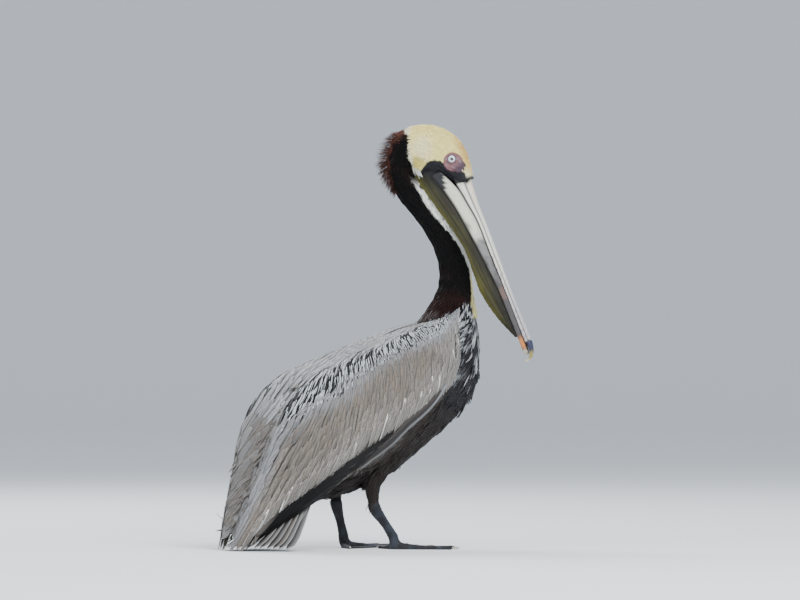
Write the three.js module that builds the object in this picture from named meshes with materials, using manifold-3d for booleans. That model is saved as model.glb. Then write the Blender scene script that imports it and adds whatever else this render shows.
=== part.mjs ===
// A life-size brown pelican standing at rest in its feathers: head turned to its right, bill hanging down
// beside the neck, wings folded, tail laid on the floor. Every region that a person would name is a closed
// solid of its own, parted from its neighbours by a thin cut.
// Millimetres, +X forward, +Y to the bird's left, +Z up. The floor is z = 0.

import * as THREE from "three";
import { mergeVertices } from "three/addons/utils/BufferGeometryUtils.js";
import Module from "manifold-3d";

const wasm = await Module();
wasm.setup();

// ---------------------------------------------------------------- driving dimensions

const GAP = 0.35; // the cut that parts two neighbours
const ROOM = 1; // the clearance that a curved neighbour is cut back by
const HEAD_YAW = -40; // degrees, negative to the bird's right
const HEAD_CENTRE = { x: 92, y: 0 };
const EYE = { forward: 42, lateral: 17.5, z: 647.5, radius: 9 };
const CHEEK = { forward: -9, z: 644, length: 27, height: 28, width: 26 };
const BILL = { length: 321, nail: 31, pitch: -69, forward: 72.7, z: 617.5, jawBar: 3.4 };
const CREST = { from: 7.3, to: 11.6, depth: 15, root: 6, halfWidth: 12, ragged: 1.5 };
const WING = { from: 0.35, to: 11.6, thickness: 15, edge: 0.36 };
const PRIMARIES = { from: 7.15, to: 12, width: 18, thickness: 7, sunk: 2.5 };
const TRUNK_END = 9.1; // station of the body where the rump closes
const TAIL = { x: -162, z: 106, halfRoot: 32, halfTip: 80, length: 122, feathers: 11, thickness: 7 };
const TAIL_SIDE = { length: 62, forward: 22, lower: 10 }; // the outer feathers, from the middle ones' root
const CLAW = { length: 11, radius: 2.3, tip: 0.5 };
const WEB = 2.6; // thickness of the skin between the toes
// Rings along a body and facets round it, or rows and columns of a plate.
const FACETS = {
  head: [12, 16],
  neck: [6, 16],
  trunk: [14, 17],
  thigh: [5, 10],
  shank: [7, 10],
  instep: [2, 8],
  toe: [5, 4],
  claw: [3, 5],
  wing: [17, 7],
  primaries: [8, 2],
  ball: [9, 6],
  nail: [6, 10],
};

// Neck and head, from the base of the neck to the base of the bill. Each row is the centre of a section (x,
// y, z), the reach and rise from there to its hind or upper side, its yaw in degrees and half its width.
const NECK_AND_HEAD = [
  [122, 0, 380, -55, -10, -2, 43],
  [132, -1, 409, -39, -4, -4, 34],
  [138, -1, 435, -30, -2, -8, 30],
  [137, -1, 468, -27, -5, -12, 28],
  [126, 2, 505, -24, -9, -16, 26],
  [102, 10, 545, -18, -14, -20, 25],
  [81, 18, 574, -17, -15, -24, 25],
  [63, 27, 598, -19, -12, -28, 26],
  [54, 32, 618, -22, -5, -32, 27],
  [52, 33, 636, -24, 5, -35, 29],
  [55, 31, 652, -21, 18, -38, 31],
  [63, 24, 664, -16, 30, -40, 33],
  [77, 12, 668, -8, 37, -40, 34],
  [92, 0, 665, 3, 41, -40, 33],
  [108, -13, 656, 11, 40, -40, 29],
  [121, -25, 644, 15, 35, -40, 24.5],
  [132, -33, 628, 15, 24, -40, 21.5],
  [139.5, -40, 610, 13, 6, -40, 19.5],
];
const NECK_MIDDLE = 4.2; // stations where the neck is parted, and where it meets the head
const NECK_TOP = 9.2;
const NECK_CUT = 0.015; // stations left open on each side of a cut

// Body with its folded wings, from the shoulders to the wing tips. Each row is x and z of the mid-back, x and
// z of the breast or belly, half the width over the wings, how far the wing's crest is from the middle and
// over the mid-back, and the angle round the section from the mid-back to the wing's lower edge.
const BODY = [
  [67, 370, 177, 390, 52, 30, 0, 84],
  [38, 362, 177, 345, 76, 44, -3, 94],
  [5, 349, 175, 293, 94, 56, -4, 101],
  [-30, 334, 157, 244, 104, 63, -3, 109],
  [-65, 317, 118, 203, 109, 68, 1, 119],
  [-98, 297, 72, 166, 111, 71, 8, 125],
  [-130, 272, 25, 128, 109, 75, 19, 128],
  [-157, 240, -25, 100, 104, 78, 28, 126],
  [-182, 202, -76, 77, 96, 76, 34, 130],
  [-206, 157, -126, 57, 83, 67, 33, 141],
  [-229, 108, -172, 35, 68, 53, 24, 150],
  [-249, 62, -212, 14, 54, 41, 18, 156],
  [-264, 24, -243, 2, 42, 31, 12, 160],
];

// In the bill's own frame, x runs down the bill from the forehead and z out of its ridge.
// Upper bill: x, z of the ridge, z of the cutting edge, half width.
const UPPER_BILL = [
  [-14, 0, -30, 17],
  [12, -3.8, -24.5, 17.5],
  [42, -5.6, -19, 16.5],
  [72, -5.6, -14.4, 15.2],
  [130, -5, -13.6, 13.8],
  [190, -5.2, -12.2, 12.6],
  [250, -3.4, -11.6, 11.5],
  [284, -2.6, -11.6, 10.5],
  [300, -3, -12.2, 8.6],
];
// Side bars of the jaw: x, z of the upper and lower edges, half the spread over the two bars.
const JAW = [
  [-30, -44, -60, 26],
  [12, -25, -47, 23.5],
  [42, -19.6, -40.5, 20.5],
  [72, -15, -36, 18.6],
  [138, -14.2, -27.6, 16],
  [190, -12.8, -22.6, 14],
  [230, -12.3, -21.2, 12],
  [268, -12.3, -20.8, 9.6],
  [304, -13.8, -21.4, 5],
];
const JAW_TIP = 309;
// Pouch: x, z of its keel, half width.
const POUCH = [
  [-42, -92, 19],
  [-10, -88, 21],
  [14, -80.5, 21.5],
  [50, -68.5, 19.5],
  [80, -61, 17],
  [104, -57, 15.3],
  [135, -55.5, 13.5],
  [164, -58, 12.6],
  [192, -56, 11.6],
  [222, -49, 10.2],
  [251, -38.5, 8],
  [276, -27.5, 5],
];

// Each leg: its side, the way its foot points in degrees, positive to the left, and the places of the hip
// under the feathers, the middle of the thigh, the ankle and the joint over the toes.
const LEGS = {
  right: {
    side: -1,
    yaw: -17,
    hip: [-12, -60, 162],
    thigh: [-36, -52, 114],
    ankle: [-34, -48, 78],
    toes: [3, -48, 16],
  },
  left: {
    side: 1,
    yaw: 9,
    hip: [-26, 60, 164],
    thigh: [-54, 53, 118],
    ankle: [-58, 50, 83],
    toes: [-43, 51, 16],
  },
};
// Each toe: the angle from the foot's own line, outwards positive, its length and half its width.
const TOES = {
  hind: { angle: -112, length: 50, half: 4.4 },
  inner: { angle: -24, length: 82, half: 5.2 },
  middle: { angle: -2, length: 102, half: 5.6 },
  outer: { angle: 19, length: 98, half: 5.2 },
};

const COLOURS = {
  cream: 0xe6dba6,
  black: 0x1c1614,
  chestnut: 0x6a3524,
  silver: 0xa9a5a0,
  breast: 0x2e2a2a,
  ivory: 0xd2cfba,
  nail: 0xc79a3a,
  olive: 0x55552c,
  leather: 0x25262a,
  flight: 0x1b1c20,
  tail: 0xa3a3a6,
  iris: 0xdfe6ea,
};

// ---------------------------------------------------------------- shape helpers

const radians = THREE.MathUtils.degToRad;
const mix = THREE.MathUtils.lerp;
const smoothstep = THREE.MathUtils.smoothstep;
const point = (x, y, z) => new THREE.Vector3(x, y, z);
const heading = (degrees) => point(Math.cos(radians(degrees)), Math.sin(radians(degrees)), 0);
const leftOf = (direction) => point(-direction.y, direction.x, 0);

const spaced = (from, to, count) => Array.from({ length: count + 1 }, (_, i) => mix(from, to, i / count));

// A smooth curve through rows of numbers, read at any station from 0 to the last row.
function throughRows(rows) {
  const curve = new THREE.CubicInterpolant(rows.map((_, i) => i), rows.flat(), rows[0].length);
  return (station) => Array.from(curve.evaluate(station));
}

// The same, read at a distance that the first column holds.
function alongRows(rows) {
  const curve = new THREE.CubicInterpolant(rows.map((row) => row[0]), rows.flat(), rows[0].length);
  return (distance) => Array.from(curve.evaluate(distance));
}

function geometryOf(vertices, triangles) {
  const volume = triangles.reduce(
    (sum, [a, b, c]) => sum + vertices[a].dot(vertices[b].clone().cross(vertices[c])),
    0,
  );
  const outward = volume < 0 ? triangles.map(([a, b, c]) => [a, c, b]) : triangles;
  return new THREE.BufferGeometry().setFromPoints(vertices).setIndex(outward.flat());
}

// A closed body through rings of equal count, with a fan over each end.
function tube(rings) {
  const sides = rings[0].length;
  const vertices = rings.flat();
  const triangles = [];
  rings.slice(1).forEach((_, i) => {
    for (let j = 0; j < sides; j++) {
      const [a, b] = [i * sides + j, i * sides + ((j + 1) % sides)];
      triangles.push([a, b, b + sides], [a, b + sides, a + sides]);
    }
  });
  const last = (rings.length - 1) * sides;
  for (const first of [0, last]) {
    const ring = vertices.slice(first, first + sides);
    const hub = vertices.push(ring.reduce((sum, p) => sum.add(p), point(0, 0, 0)).divideScalar(sides)) - 1;
    for (let j = 0; j < sides; j++) {
      const [a, b] = [first + j, first + ((j + 1) % sides)];
      triangles.push(first ? [hub, a, b] : [hub, b, a]);
    }
  }
  return geometryOf(vertices, triangles);
}

// A closed plate between two grids of points of equal size.
function plate(outer, inner) {
  const rows = outer.length;
  const columns = outer[0].length;
  const under = rows * columns;
  const triangles = [];
  const quad = (a, b, c, d) => triangles.push([a, b, c], [a, c, d]);
  const at = (i, j) => i * columns + j;
  for (let i = 0; i + 1 < rows; i++)
    for (let j = 0; j + 1 < columns; j++) {
      const corners = [at(i, j), at(i, j + 1), at(i + 1, j + 1), at(i + 1, j)];
      quad(...corners);
      quad(...corners.map((v) => v + under).reverse());
    }
  const count = (length, place) => Array.from({ length }, (_, i) => place(i));
  const border = [
    ...count(columns - 1, (j) => at(0, j)),
    ...count(rows - 1, (i) => at(i, columns - 1)),
    ...count(columns - 1, (j) => at(rows - 1, columns - 1 - j)),
    ...count(rows - 1, (i) => at(rows - 1 - i, 0)),
  ];
  border.forEach((a, i) => {
    const b = border[(i + 1) % border.length];
    quad(b, a, a + under, b + under);
  });
  return geometryOf([...outer.flat(), ...inner.flat()], triangles);
}

// A rounded ring: `up` and `side` run from the centre to its upper and left sides. A power of 2 is an
// ellipse, and over 2 is boxier.
function ring(centre, up, side, power, count) {
  const rounded = (value) => Math.sign(value) * Math.abs(value) ** (2 / power);
  return Array.from({ length: count }, (_, j) => {
    const angle = (j / count) * 2 * Math.PI;
    return centre
      .clone()
      .addScaledVector(up, rounded(Math.cos(angle)))
      .addScaledVector(side, rounded(Math.sin(angle)));
  });
}

// Half of a section in the bill's frame, from the middle round the left side to the middle again, made whole.
function wholeSection(x, half) {
  const right = half.slice(1, -1).reverse();
  return [...half.map(([y, z]) => point(x, y, z)), ...right.map(([y, z]) => point(x, -y, z))];
}

function bare(geometry) {
  const open = geometry.index ? geometry.toNonIndexed() : geometry;
  const positions = new THREE.BufferGeometry().setAttribute("position", open.getAttribute("position"));
  return mergeVertices(positions, 1e-3);
}

function solidOf(geometry) {
  const { attributes, index } = bare(geometry);
  const vertProperties = new Float32Array(attributes.position.array);
  const triVerts = new Uint32Array(index.array);
  return new wasm.Manifold(new wasm.Mesh({ numProp: 3, vertProperties, triVerts }));
}

// The largest body of a solid, so that a sliver left by a cut is dropped.
function geometryFrom(solid) {
  const [largest] = solid.decompose().sort((a, b) => b.volume() - a.volume());
  const mesh = largest.getMesh();
  const positions = new THREE.BufferAttribute(new Float32Array(mesh.vertProperties), 3);
  return new THREE.BufferGeometry().setAttribute("position", positions).setIndex([...mesh.triVerts]);
}

function without(geometry, ...others) {
  return geometryFrom(others.reduce((rest, other) => rest.subtract(solidOf(other)), solidOf(geometry)));
}

function joined(...geometries) {
  return geometryFrom(geometries.map(solidOf).reduce((whole, next) => whole.add(next)));
}

function mirrored(geometry) {
  const flipped = geometry.clone().applyMatrix4(new THREE.Matrix4().makeScale(1, -1, 1));
  const index = flipped.index.array;
  return flipped.setIndex(Array.from(index, (_, i) => index[i - (i % 3) + ((3 - (i % 3)) % 3)]));
}

// ---------------------------------------------------------------- neck and head

const neckAt = throughRows(NECK_AND_HEAD);

function neckPiece(from, to, rings, sides, grow = 0) {
  return tube(
    spaced(from, to, rings).map((station) => {
      const [x, y, z, reach, rise, yaw, halfWidth] = neckAt(station);
      const up = heading(yaw).multiplyScalar(reach).add(point(0, 0, rise));
      const side = leftOf(heading(yaw)).multiplyScalar(halfWidth + grow);
      return ring(point(x, y, z), up.setLength(up.length() + grow), side, 2.1, sides);
    }),
  );
}

// A place in the head: forward and left of its centre, at a height over the floor.
function inHead(forward, left, z) {
  const ahead = heading(HEAD_YAW).multiplyScalar(forward);
  const aside = leftOf(heading(HEAD_YAW)).multiplyScalar(left);
  return point(HEAD_CENTRE.x, HEAD_CENTRE.y, z).add(ahead).add(aside);
}

function cheek(grow = 0) {
  const ball = new THREE.SphereGeometry(1, ...FACETS.ball);
  ball.scale(CHEEK.length + grow, CHEEK.width + grow, CHEEK.height + grow);
  return bare(ball).rotateZ(radians(HEAD_YAW)).translate(...inHead(CHEEK.forward, 0, CHEEK.z).toArray());
}

function eyeball(side, grow = 0) {
  const centre = inHead(EYE.forward, side * EYE.lateral, EYE.z);
  return bare(new THREE.SphereGeometry(EYE.radius + grow, ...FACETS.ball)).translate(...centre.toArray());
}

const skull = (grow = 0) =>
  joined(neckPiece(NECK_TOP, NECK_AND_HEAD.length - 1, ...FACETS.head, grow), cheek(grow));
const upperNeck = (grow = 0) => neckPiece(NECK_MIDDLE + NECK_CUT, NECK_TOP - NECK_CUT, ...FACETS.neck, grow);
const lowerNeck = () => neckPiece(NECK_CUT, NECK_MIDDLE - NECK_CUT, ...FACETS.neck);

function crest() {
  // A mane down the nape, deepest behind the crown, with a ragged edge.
  const profile = [[0, -1], [0.5, -1], [1, -0.12], [1, 0.12], [0.5, 1], [0, 1]];
  const rings = spaced(CREST.from, CREST.to, 17).map((station, i) => {
    const [x, y, z, reach, rise, yaw] = neckAt(station);
    const out = heading(yaw).multiplyScalar(reach).add(point(0, 0, rise));
    const up = out.clone().normalize();
    const root = point(x, y, z).add(out).addScaledVector(up, -CREST.root);
    const swell = Math.sin((Math.PI * (station - CREST.from)) / (CREST.to - CREST.from));
    const height = CREST.root + CREST.depth * swell ** 0.7 + CREST.ragged * (i % 2 ? 1 : -1);
    const half = CREST.halfWidth * mix(0.6, 1, swell);
    const side = leftOf(heading(yaw));
    return profile.map(([high, wide]) =>
      root.clone().addScaledVector(up, high * height).addScaledVector(side, wide * half),
    );
  });
  return tube(rings);
}

// ---------------------------------------------------------------- bill

const upperBillAt = alongRows(UPPER_BILL);
const jawAt = alongRows(JAW);
const pouchAt = alongRows(POUCH);

// Places a geometry of the bill's own frame on the head.
function onHead(geometry) {
  const ahead = heading(HEAD_YAW);
  const pitch = radians(BILL.pitch);
  const down = ahead.clone().multiplyScalar(Math.cos(pitch)).setZ(Math.sin(pitch));
  const left = leftOf(ahead);
  const frame = new THREE.Matrix4().makeBasis(down, left, down.clone().cross(left));
  return geometry.applyMatrix4(frame.setPosition(inHead(BILL.forward, 0, BILL.z)));
}

function upperBill(grow = 0) {
  // A round ridge, a groove on each side of it and a cutting edge that overhangs the jaw.
  const ridge = [[0.66, 0.64], [0.5, 0.6], [0.38, 0.86], [0, 1]];
  const grooved = [[0, 0.1], [0.8, 0], [1, 0.12], [0.94, 0.42], ...ridge];
  const smooth = [[0, 0], [1, 0], [1, 0.45], [0.7, 0.8], [0, 1]];
  const profile = grow ? smooth : grooved;
  const distances = [...spaced(-14 - grow, 72, 6), ...spaced(92, BILL.length - BILL.nail - 1 + grow, 7)];
  const rings = distances.map((x) => {
    const [, top, edge, half] = upperBillAt(x);
    const section = profile.map(([wide, high]) => [wide * (half + grow), mix(edge - grow, top + grow, high)]);
    return wholeSection(x, section);
  });
  return onHead(tube(rings));
}

function nail(grow = 0) {
  // It caps the end of the upper bill and hooks down over the tip of the jaw.
  const [count, sides] = FACETS.nail;
  const rings = spaced(0, 1, count).map((t) => {
    const x = BILL.length - BILL.nail - grow + BILL.nail * Math.sin(1.45 * t) - 2 * t * t;
    const depth = mix(5, 1.6, t) + grow;
    const lean = 1.2 * t;
    const up = point(Math.sin(lean), 0, Math.cos(lean)).multiplyScalar(depth);
    const half = mix(8.8, 1.6, t ** 1.3) + grow;
    return ring(point(x, 0, -7 - 16.5 * t ** 2.4), up, point(0, half, 0), 2.2, sides);
  });
  return onHead(tube(rings));
}

function jaw(grow = 0) {
  // The two side bars meet at the tip, so the path runs out along the right bar and back along the left.
  const bar = [...spaced(-26 - grow, 242, 9), 268, 290, 303].map((x) => jawAt(x));
  const [, tipTop, tipBottom] = bar.at(-1);
  const path = [
    ...bar.map(([x, top, bottom, half]) => [x, -half, top, bottom]),
    [JAW_TIP, 0, tipTop, tipBottom],
    ...bar.map(([x, top, bottom, half]) => [x, half, top, bottom]).reverse(),
  ];
  const wall = (offset, bulge) =>
    path.map(([x, y, top, bottom], i) => {
      const [a, b] = [path[Math.max(i - 1, 0)], path[Math.min(i + 1, path.length - 1)]];
      const out = new THREE.Vector2(b[1] - a[1], a[0] - b[0]).normalize();
      return [0, 0.5, 1].map((share) => {
        const away = offset + bulge * Math.sin(share * Math.PI);
        return point(x + out.x * away, y + out.y * away, mix(top + grow, bottom - grow, share));
      });
    });
  return onHead(plate(wall(grow, 0.8), wall(-BILL.jawBar - grow, 0)));
}

function pouch(grow = 0) {
  // Its upper part is the floor of the mouth, held between the jaw's bars; the rest hangs below them.
  const start = POUCH[0][0];
  const end = POUCH.at(-1)[0];
  const rings = [...spaced(start - grow, 0, 4), ...spaced(22, end, 10)].map((x) => {
    const [, keel, half] = pouchAt(x);
    const [, top, bottom, spread] = jawAt(Math.max(x, JAW[0][0]));
    const inside = spread - BILL.jawBar - ROOM;
    const ceiling = mix(top, bottom, 0.35) + grow;
    const closing = mix(0.55, 1, smoothstep(x, start, start + 16));
    const hanging = [0, 0.3, 0.58, 0.82].map((share) => [
      closing * (half + grow) * Math.cos((share * Math.PI) / 2) ** 0.75,
      mix(bottom - 2.5, keel - grow, share),
    ]);
    const mouth = [[0, ceiling], [closing * inside, ceiling], [closing * inside, bottom]];
    return wholeSection(x, [...mouth, ...hanging, [0, keel - grow]]);
  });
  return onHead(tube(rings));
}

// ---------------------------------------------------------------- body, wings and tail

const bodyAt = throughRows(BODY);

function bodySection(station) {
  const [backX, backZ, breastX, breastZ, halfWidth, crestSide, crestOver, edge] = bodyAt(station);
  const back = point(backX, 0, backZ);
  const centre = back.clone().add(point(breastX, 0, breastZ)).divideScalar(2);
  const radius = back.clone().sub(centre);
  const [up, depth] = [radius.clone().normalize(), radius.length()];
  return { centre, up, depth, halfWidth, crestSide, crestOver, edge: radians(edge) };
}

function trunk(grow = 0) {
  const [rings, sides] = FACETS.trunk;
  const sections = spaced(0, TRUNK_END, rings).map((station) => {
    const { centre, up, depth, halfWidth } = bodySection(station);
    const closing = Math.sqrt(Math.max(0, 1 - (station / TRUNK_END) ** 7));
    const rump = smoothstep(station, 6, TRUNK_END);
    const half = (halfWidth - mix(10, 30, rump)) * mix(0.28, 1, closing) + grow;
    // The rump lies lower than the wings' own mid-back line, and the belly stays where it is.
    const sunk = 0.14 * rump * depth;
    const height = (depth - sunk) * mix(0.3, 1, closing) + grow;
    return ring(centre.addScaledVector(up, -sunk), up.multiplyScalar(height), point(0, half, 0), 2.1, sides);
  });
  return tube(sections);
}

// The wing's surface, from its inner edge beside the spine (share 0) over the crest and the side to its lower
// edge (share 1).
function wingCurve(station) {
  const { depth, halfWidth, crestSide, crestOver, edge } = bodySection(station);
  const inner = mix(24, 8, smoothstep(station, 2, 9));
  return new THREE.SplineCurve([
    new THREE.Vector2(Math.min(inner, crestSide * 0.7), depth),
    new THREE.Vector2(crestSide, depth + crestOver),
    new THREE.Vector2(halfWidth, 0.12 * depth),
    new THREE.Vector2(0.96 * halfWidth * Math.sin(edge), depth * Math.cos(edge)),
  ]);
}

function wingPoint(station, share, inwards) {
  const { centre, up } = bodySection(station);
  const curve = wingCurve(station);
  const nearest = THREE.MathUtils.clamp(share, 0, 1); // past either edge the surface runs straight on
  const along = curve.getTangentAt(nearest);
  const at = curve.getPointAt(nearest).addScaledVector(along, (share - nearest) * curve.getLength());
  const lateral = at.x + along.y * inwards;
  return centre.clone().addScaledVector(up, at.y - along.x * inwards).add(point(0, -lateral, 0));
}

// The share of the section where the coverts end and the bare primaries begin.
function covertsEnd(station) {
  const opening = smoothstep(station, PRIMARIES.from, PRIMARIES.from + 0.5);
  const width = PRIMARIES.width * (1 + smoothstep(station, 10.8, PRIMARIES.to));
  return 1 - (opening * width) / wingCurve(station).getLength();
}

function wingPlate({ from, to, rows, columns, low, high, thickness, sunk = 0, grow = 0 }) {
  const layer = (inside) =>
    spaced(from, to, rows).map((station, i) => {
      const along = i / rows;
      const thin = Math.min(1, 0.4 + 4 * along) * mix(1, 0.55, along ** 3);
      return spaced(low(station), high(station), columns).map((share, j) => {
        const across = j / columns;
        const deep = thickness * thin * mix(WING.edge, 1, Math.sqrt(4 * across * (1 - across)));
        return wingPoint(station, share, inside ? sunk + deep + grow : sunk - grow);
      });
    });
  return plate(layer(false), layer(true));
}

function wing(grow = 0) {
  const reach = grow / 40; // the same clearance past the ends, in stations and shares
  const [rows, columns] = FACETS.wing;
  return wingPlate({
    from: WING.from - reach,
    to: WING.to + reach,
    rows,
    columns,
    low: () => 0.01 - reach,
    high: (station) => covertsEnd(station) + reach,
    thickness: WING.thickness,
    grow,
  });
}

function primaries(grow = 0) {
  const [rows, columns] = FACETS.primaries;
  return wingPlate({
    from: PRIMARIES.from,
    to: PRIMARIES.to,
    rows,
    columns,
    low: (station) => covertsEnd(station) - 0.06,
    high: () => 1,
    thickness: PRIMARIES.thickness,
    sunk: PRIMARIES.sunk,
    grow,
  });
}

function tail(grow = 0) {
  // An arched fan of feathers with rounded ends. The outer ones hang steeply and the tips lie on the floor.
  const steps = 2; // columns to a feather
  const layer = (side) =>
    spaced(0, 1, 4).map((along) =>
      spaced(-1, 1, TAIL.feathers * steps).map((share, j) => {
        const outer = Math.abs(share) ** 1.7;
        const rounding = 1 - 0.05 * along * (j % steps ? 0 : 1);
        const length = mix(TAIL.length, TAIL_SIDE.length, outer) * rounding;
        const reach = length * along - TAIL_SIDE.forward * outer;
        const half = (TAIL.thickness / 2) * mix(1, 0.4, along);
        const laid = mix(along, smoothstep(along, 0, 0.94), 0.45); // how far down the feather has come
        const lateral = share * mix(TAIL.halfRoot, TAIL.halfTip, along ** 1.1);
        const height = mix(TAIL.z - TAIL_SIDE.lower * outer, half, laid);
        return point(TAIL.x - reach, lateral, height + side * (half + grow));
      }),
    );
  return plate(layer(1), layer(-1));
}

// ---------------------------------------------------------------- legs

function limb(places, depths, widths, [rings, sides]) {
  const curve = new THREE.CatmullRomCurve3(places.map((place) => point(...place)));
  const depthAt = throughRows(depths.map((value) => [value]));
  const widthAt = throughRows(widths.map((value) => [value]));
  return tube(
    spaced(0, 1, rings).map((t) => {
      const side = point(0, 1, 0);
      const front = side.clone().cross(curve.getTangent(t)).normalize();
      const [depth] = depthAt(t * (depths.length - 1));
      const [width] = widthAt(t * (widths.length - 1));
      return ring(curve.getPoint(t), front.multiplyScalar(depth), side.multiplyScalar(width), 2, sides);
    }),
  );
}

const thigh = (leg) => limb([leg.hip, leg.thigh, leg.ankle], [28, 18, 11.5], [22, 16, 9.5], FACETS.thigh);

function shank({ ankle: [ax, ay, az], toes: [tx, ty, tz] }, grow = 0) {
  const start = [ax, ay, az - 1.6];
  const heel = [mix(ax, tx, 0.06), ay, az - 10];
  const middle = [mix(ax, tx, 0.56), mix(ay, ty, 0.5), mix(az, tz, 0.56)];
  const half = [10.5, 11, 7.8, 9].map((value) => value + grow);
  const width = [8.8, 8.8, 5.4, 7].map((value) => value + grow);
  return limb([start, heel, middle, [tx, ty, tz + 3]], half, width, FACETS.shank);
}

function instep({ toes: [x, y, z] }) {
  const places = [[x - 3, y, z + 8], [x + 1, y, z - 4], [x + 7, y, 0]];
  const knuckle = limb(places, [8, 10, 11], [6.5, 8, 8], FACETS.instep);
  return geometryFrom(solidOf(knuckle).trimByPlane([0, 0, 1], 0));
}

const toeHeading = (leg, angle) => leg.yaw + leg.side * angle;

function toe(leg, { angle, length, half }) {
  const ahead = heading(toeHeading(leg, angle));
  const knuckles = angle < -90 ? 2 : 3;
  const [rings, arcs] = FACETS.toe;
  const sections = spaced(0, 1, rings).map((t) => {
    const swell = 1 + 0.14 * Math.sin(2 * Math.PI * knuckles * t - 0.6);
    const wide = mix(half * 1.2, half * 0.72, t) * swell;
    const high = mix(15, 6.2, Math.min(1, 1.9 * t) ** 0.7) * mix(1, swell, 0.1);
    const centre = point(leg.toes[0], leg.toes[1], 0).addScaledVector(ahead, t * length);
    return spaced(0, Math.PI, arcs).map((turn) =>
      centre
        .clone()
        .addScaledVector(leftOf(ahead), wide * Math.cos(turn))
        .setZ(high * Math.sin(turn) ** 0.8),
    );
  });
  return tube(sections);
}

function claw(leg, { angle, length }) {
  const ahead = heading(toeHeading(leg, angle));
  const start = point(leg.toes[0], leg.toes[1], 0).addScaledVector(ahead, length + GAP);
  const [rings, sides] = FACETS.claw;
  const sections = spaced(0, 1, rings).map((t) => {
    const size = mix(CLAW.radius, CLAW.tip, t ** 1.2);
    const centre = start.clone().addScaledVector(ahead, CLAW.length * t).setZ(mix(3.4, 0.9, t ** 1.6));
    return ring(centre, point(0, 0, size), leftOf(ahead).multiplyScalar(0.8 * size), 2, sides);
  });
  return tube(sections);
}

function web(leg) {
  // Skin between neighbouring toes, scooped in between their tips.
  const joint = new THREE.Vector2(leg.toes[0], leg.toes[1]);
  const tips = Object.values(TOES).map(({ angle, length }) => {
    const ahead = heading(toeHeading(leg, angle));
    return joint.clone().addScaledVector(new THREE.Vector2(ahead.x, ahead.y), 0.93 * length);
  });
  const outline = new THREE.Shape([joint, tips[0]]);
  tips.slice(1).forEach((tip, i) => {
    const middle = tip.clone().add(tips[i]).divideScalar(2);
    const scoop = joint.clone().lerp(middle, i === 0 ? 0.62 : 0.86);
    outline.quadraticCurveTo(scoop.x, scoop.y, tip.x, tip.y);
  });
  const sheet = new THREE.ExtrudeGeometry(outline, { depth: WEB, bevelEnabled: false, curveSegments: 3 });
  return sheet.translate(0, 0, GAP);
}

// ---------------------------------------------------------------- the bird

const bird = new THREE.Group();

function add(name, geometry, colour, roughness = 0.8) {
  const faceted = geometry.toNonIndexed();
  faceted.computeVertexNormals();
  const material = new THREE.MeshStandardMaterial({ color: COLOURS[colour], roughness, metalness: 0 });
  const mesh = new THREE.Mesh(faceted, material);
  mesh.name = name;
  bird.add(mesh);
}

function addHead() {
  const bill = upperBill(GAP);
  const bars = jaw(GAP);
  add("head", without(skull(), upperNeck(ROOM), bill, bars, eyeball(1, GAP), eyeball(-1, GAP)), "cream");
  add("crest", without(crest(), upperNeck(ROOM), skull(ROOM)), "chestnut");
  add("bill_upper", upperBill(), "ivory", 0.45);
  add("bill_nail", without(nail(), bill), "nail", 0.4);
  add("bill_lower", without(jaw(), bill, nail(GAP)), "ivory", 0.45);
  add("pouch", without(pouch(), upperNeck(ROOM), skull(ROOM)), "olive", 0.6);
  add("eye_right", eyeball(-1), "iris", 0.1);
  add("eye_left", eyeball(1), "iris", 0.1);
}

function addNeck() {
  add("neck_upper", upperNeck(), "black");
  add("neck_lower", lowerNeck(), "black");
}

function addBody() {
  const wings = [wing(ROOM), primaries(ROOM)].flatMap((each) => [each, mirrored(each)]);
  add("trunk", without(trunk(), ...wings), "breast");
  add("wing_right", wing(), "silver");
  add("wing_left", mirrored(wing()), "silver");
  const quills = without(primaries(), wing(ROOM));
  add("primaries_right", quills, "flight", 0.6);
  add("primaries_left", mirrored(quills), "flight", 0.6);
  add("tail", without(tail(), trunk(ROOM), ...wings), "tail");
}

function addLeg(name, leg) {
  const cover = leg.side > 0 ? mirrored(wing(ROOM)) : wing(ROOM);
  add(`thigh_${name}`, without(thigh(leg), trunk(ROOM), cover, shank(leg, GAP)), "breast");
  add(`shank_${name}`, shank(leg), "leather", 0.55);
  const toes = Object.values(TOES).map((each) => toe(leg, each));
  add(`foot_${name}`, without(joined(web(leg), instep(leg), ...toes), shank(leg, GAP)), "leather", 0.55);
  for (const [toeName, each] of Object.entries(TOES)) {
    add(`claw_${name}_${toeName}`, claw(leg, each), "leather", 0.4);
  }
}

addHead();
addNeck();
addBody();
for (const [name, leg] of Object.entries(LEGS)) addLeg(name, leg);

// The origin is on the floor, under the middle of the bird's length and width.
const box = new THREE.Box3().setFromObject(bird);
bird.position.set(-(box.min.x + box.max.x) / 2, -(box.min.y + box.max.y) / 2, -box.min.z);

export default bird;
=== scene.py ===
"""A life-size brown pelican standing at rest, dressed around its fixed frame.

One skin carries the whole body. Over it lie the short feathers of head, neck and breast, the long coverts of
the wings, the flight feathers and the tail. The bill, the eyes and the claws are pieces of their own.
Metres, +X the way the breast faces, +Y the bird's left and +Z up.
"""

import math

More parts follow.
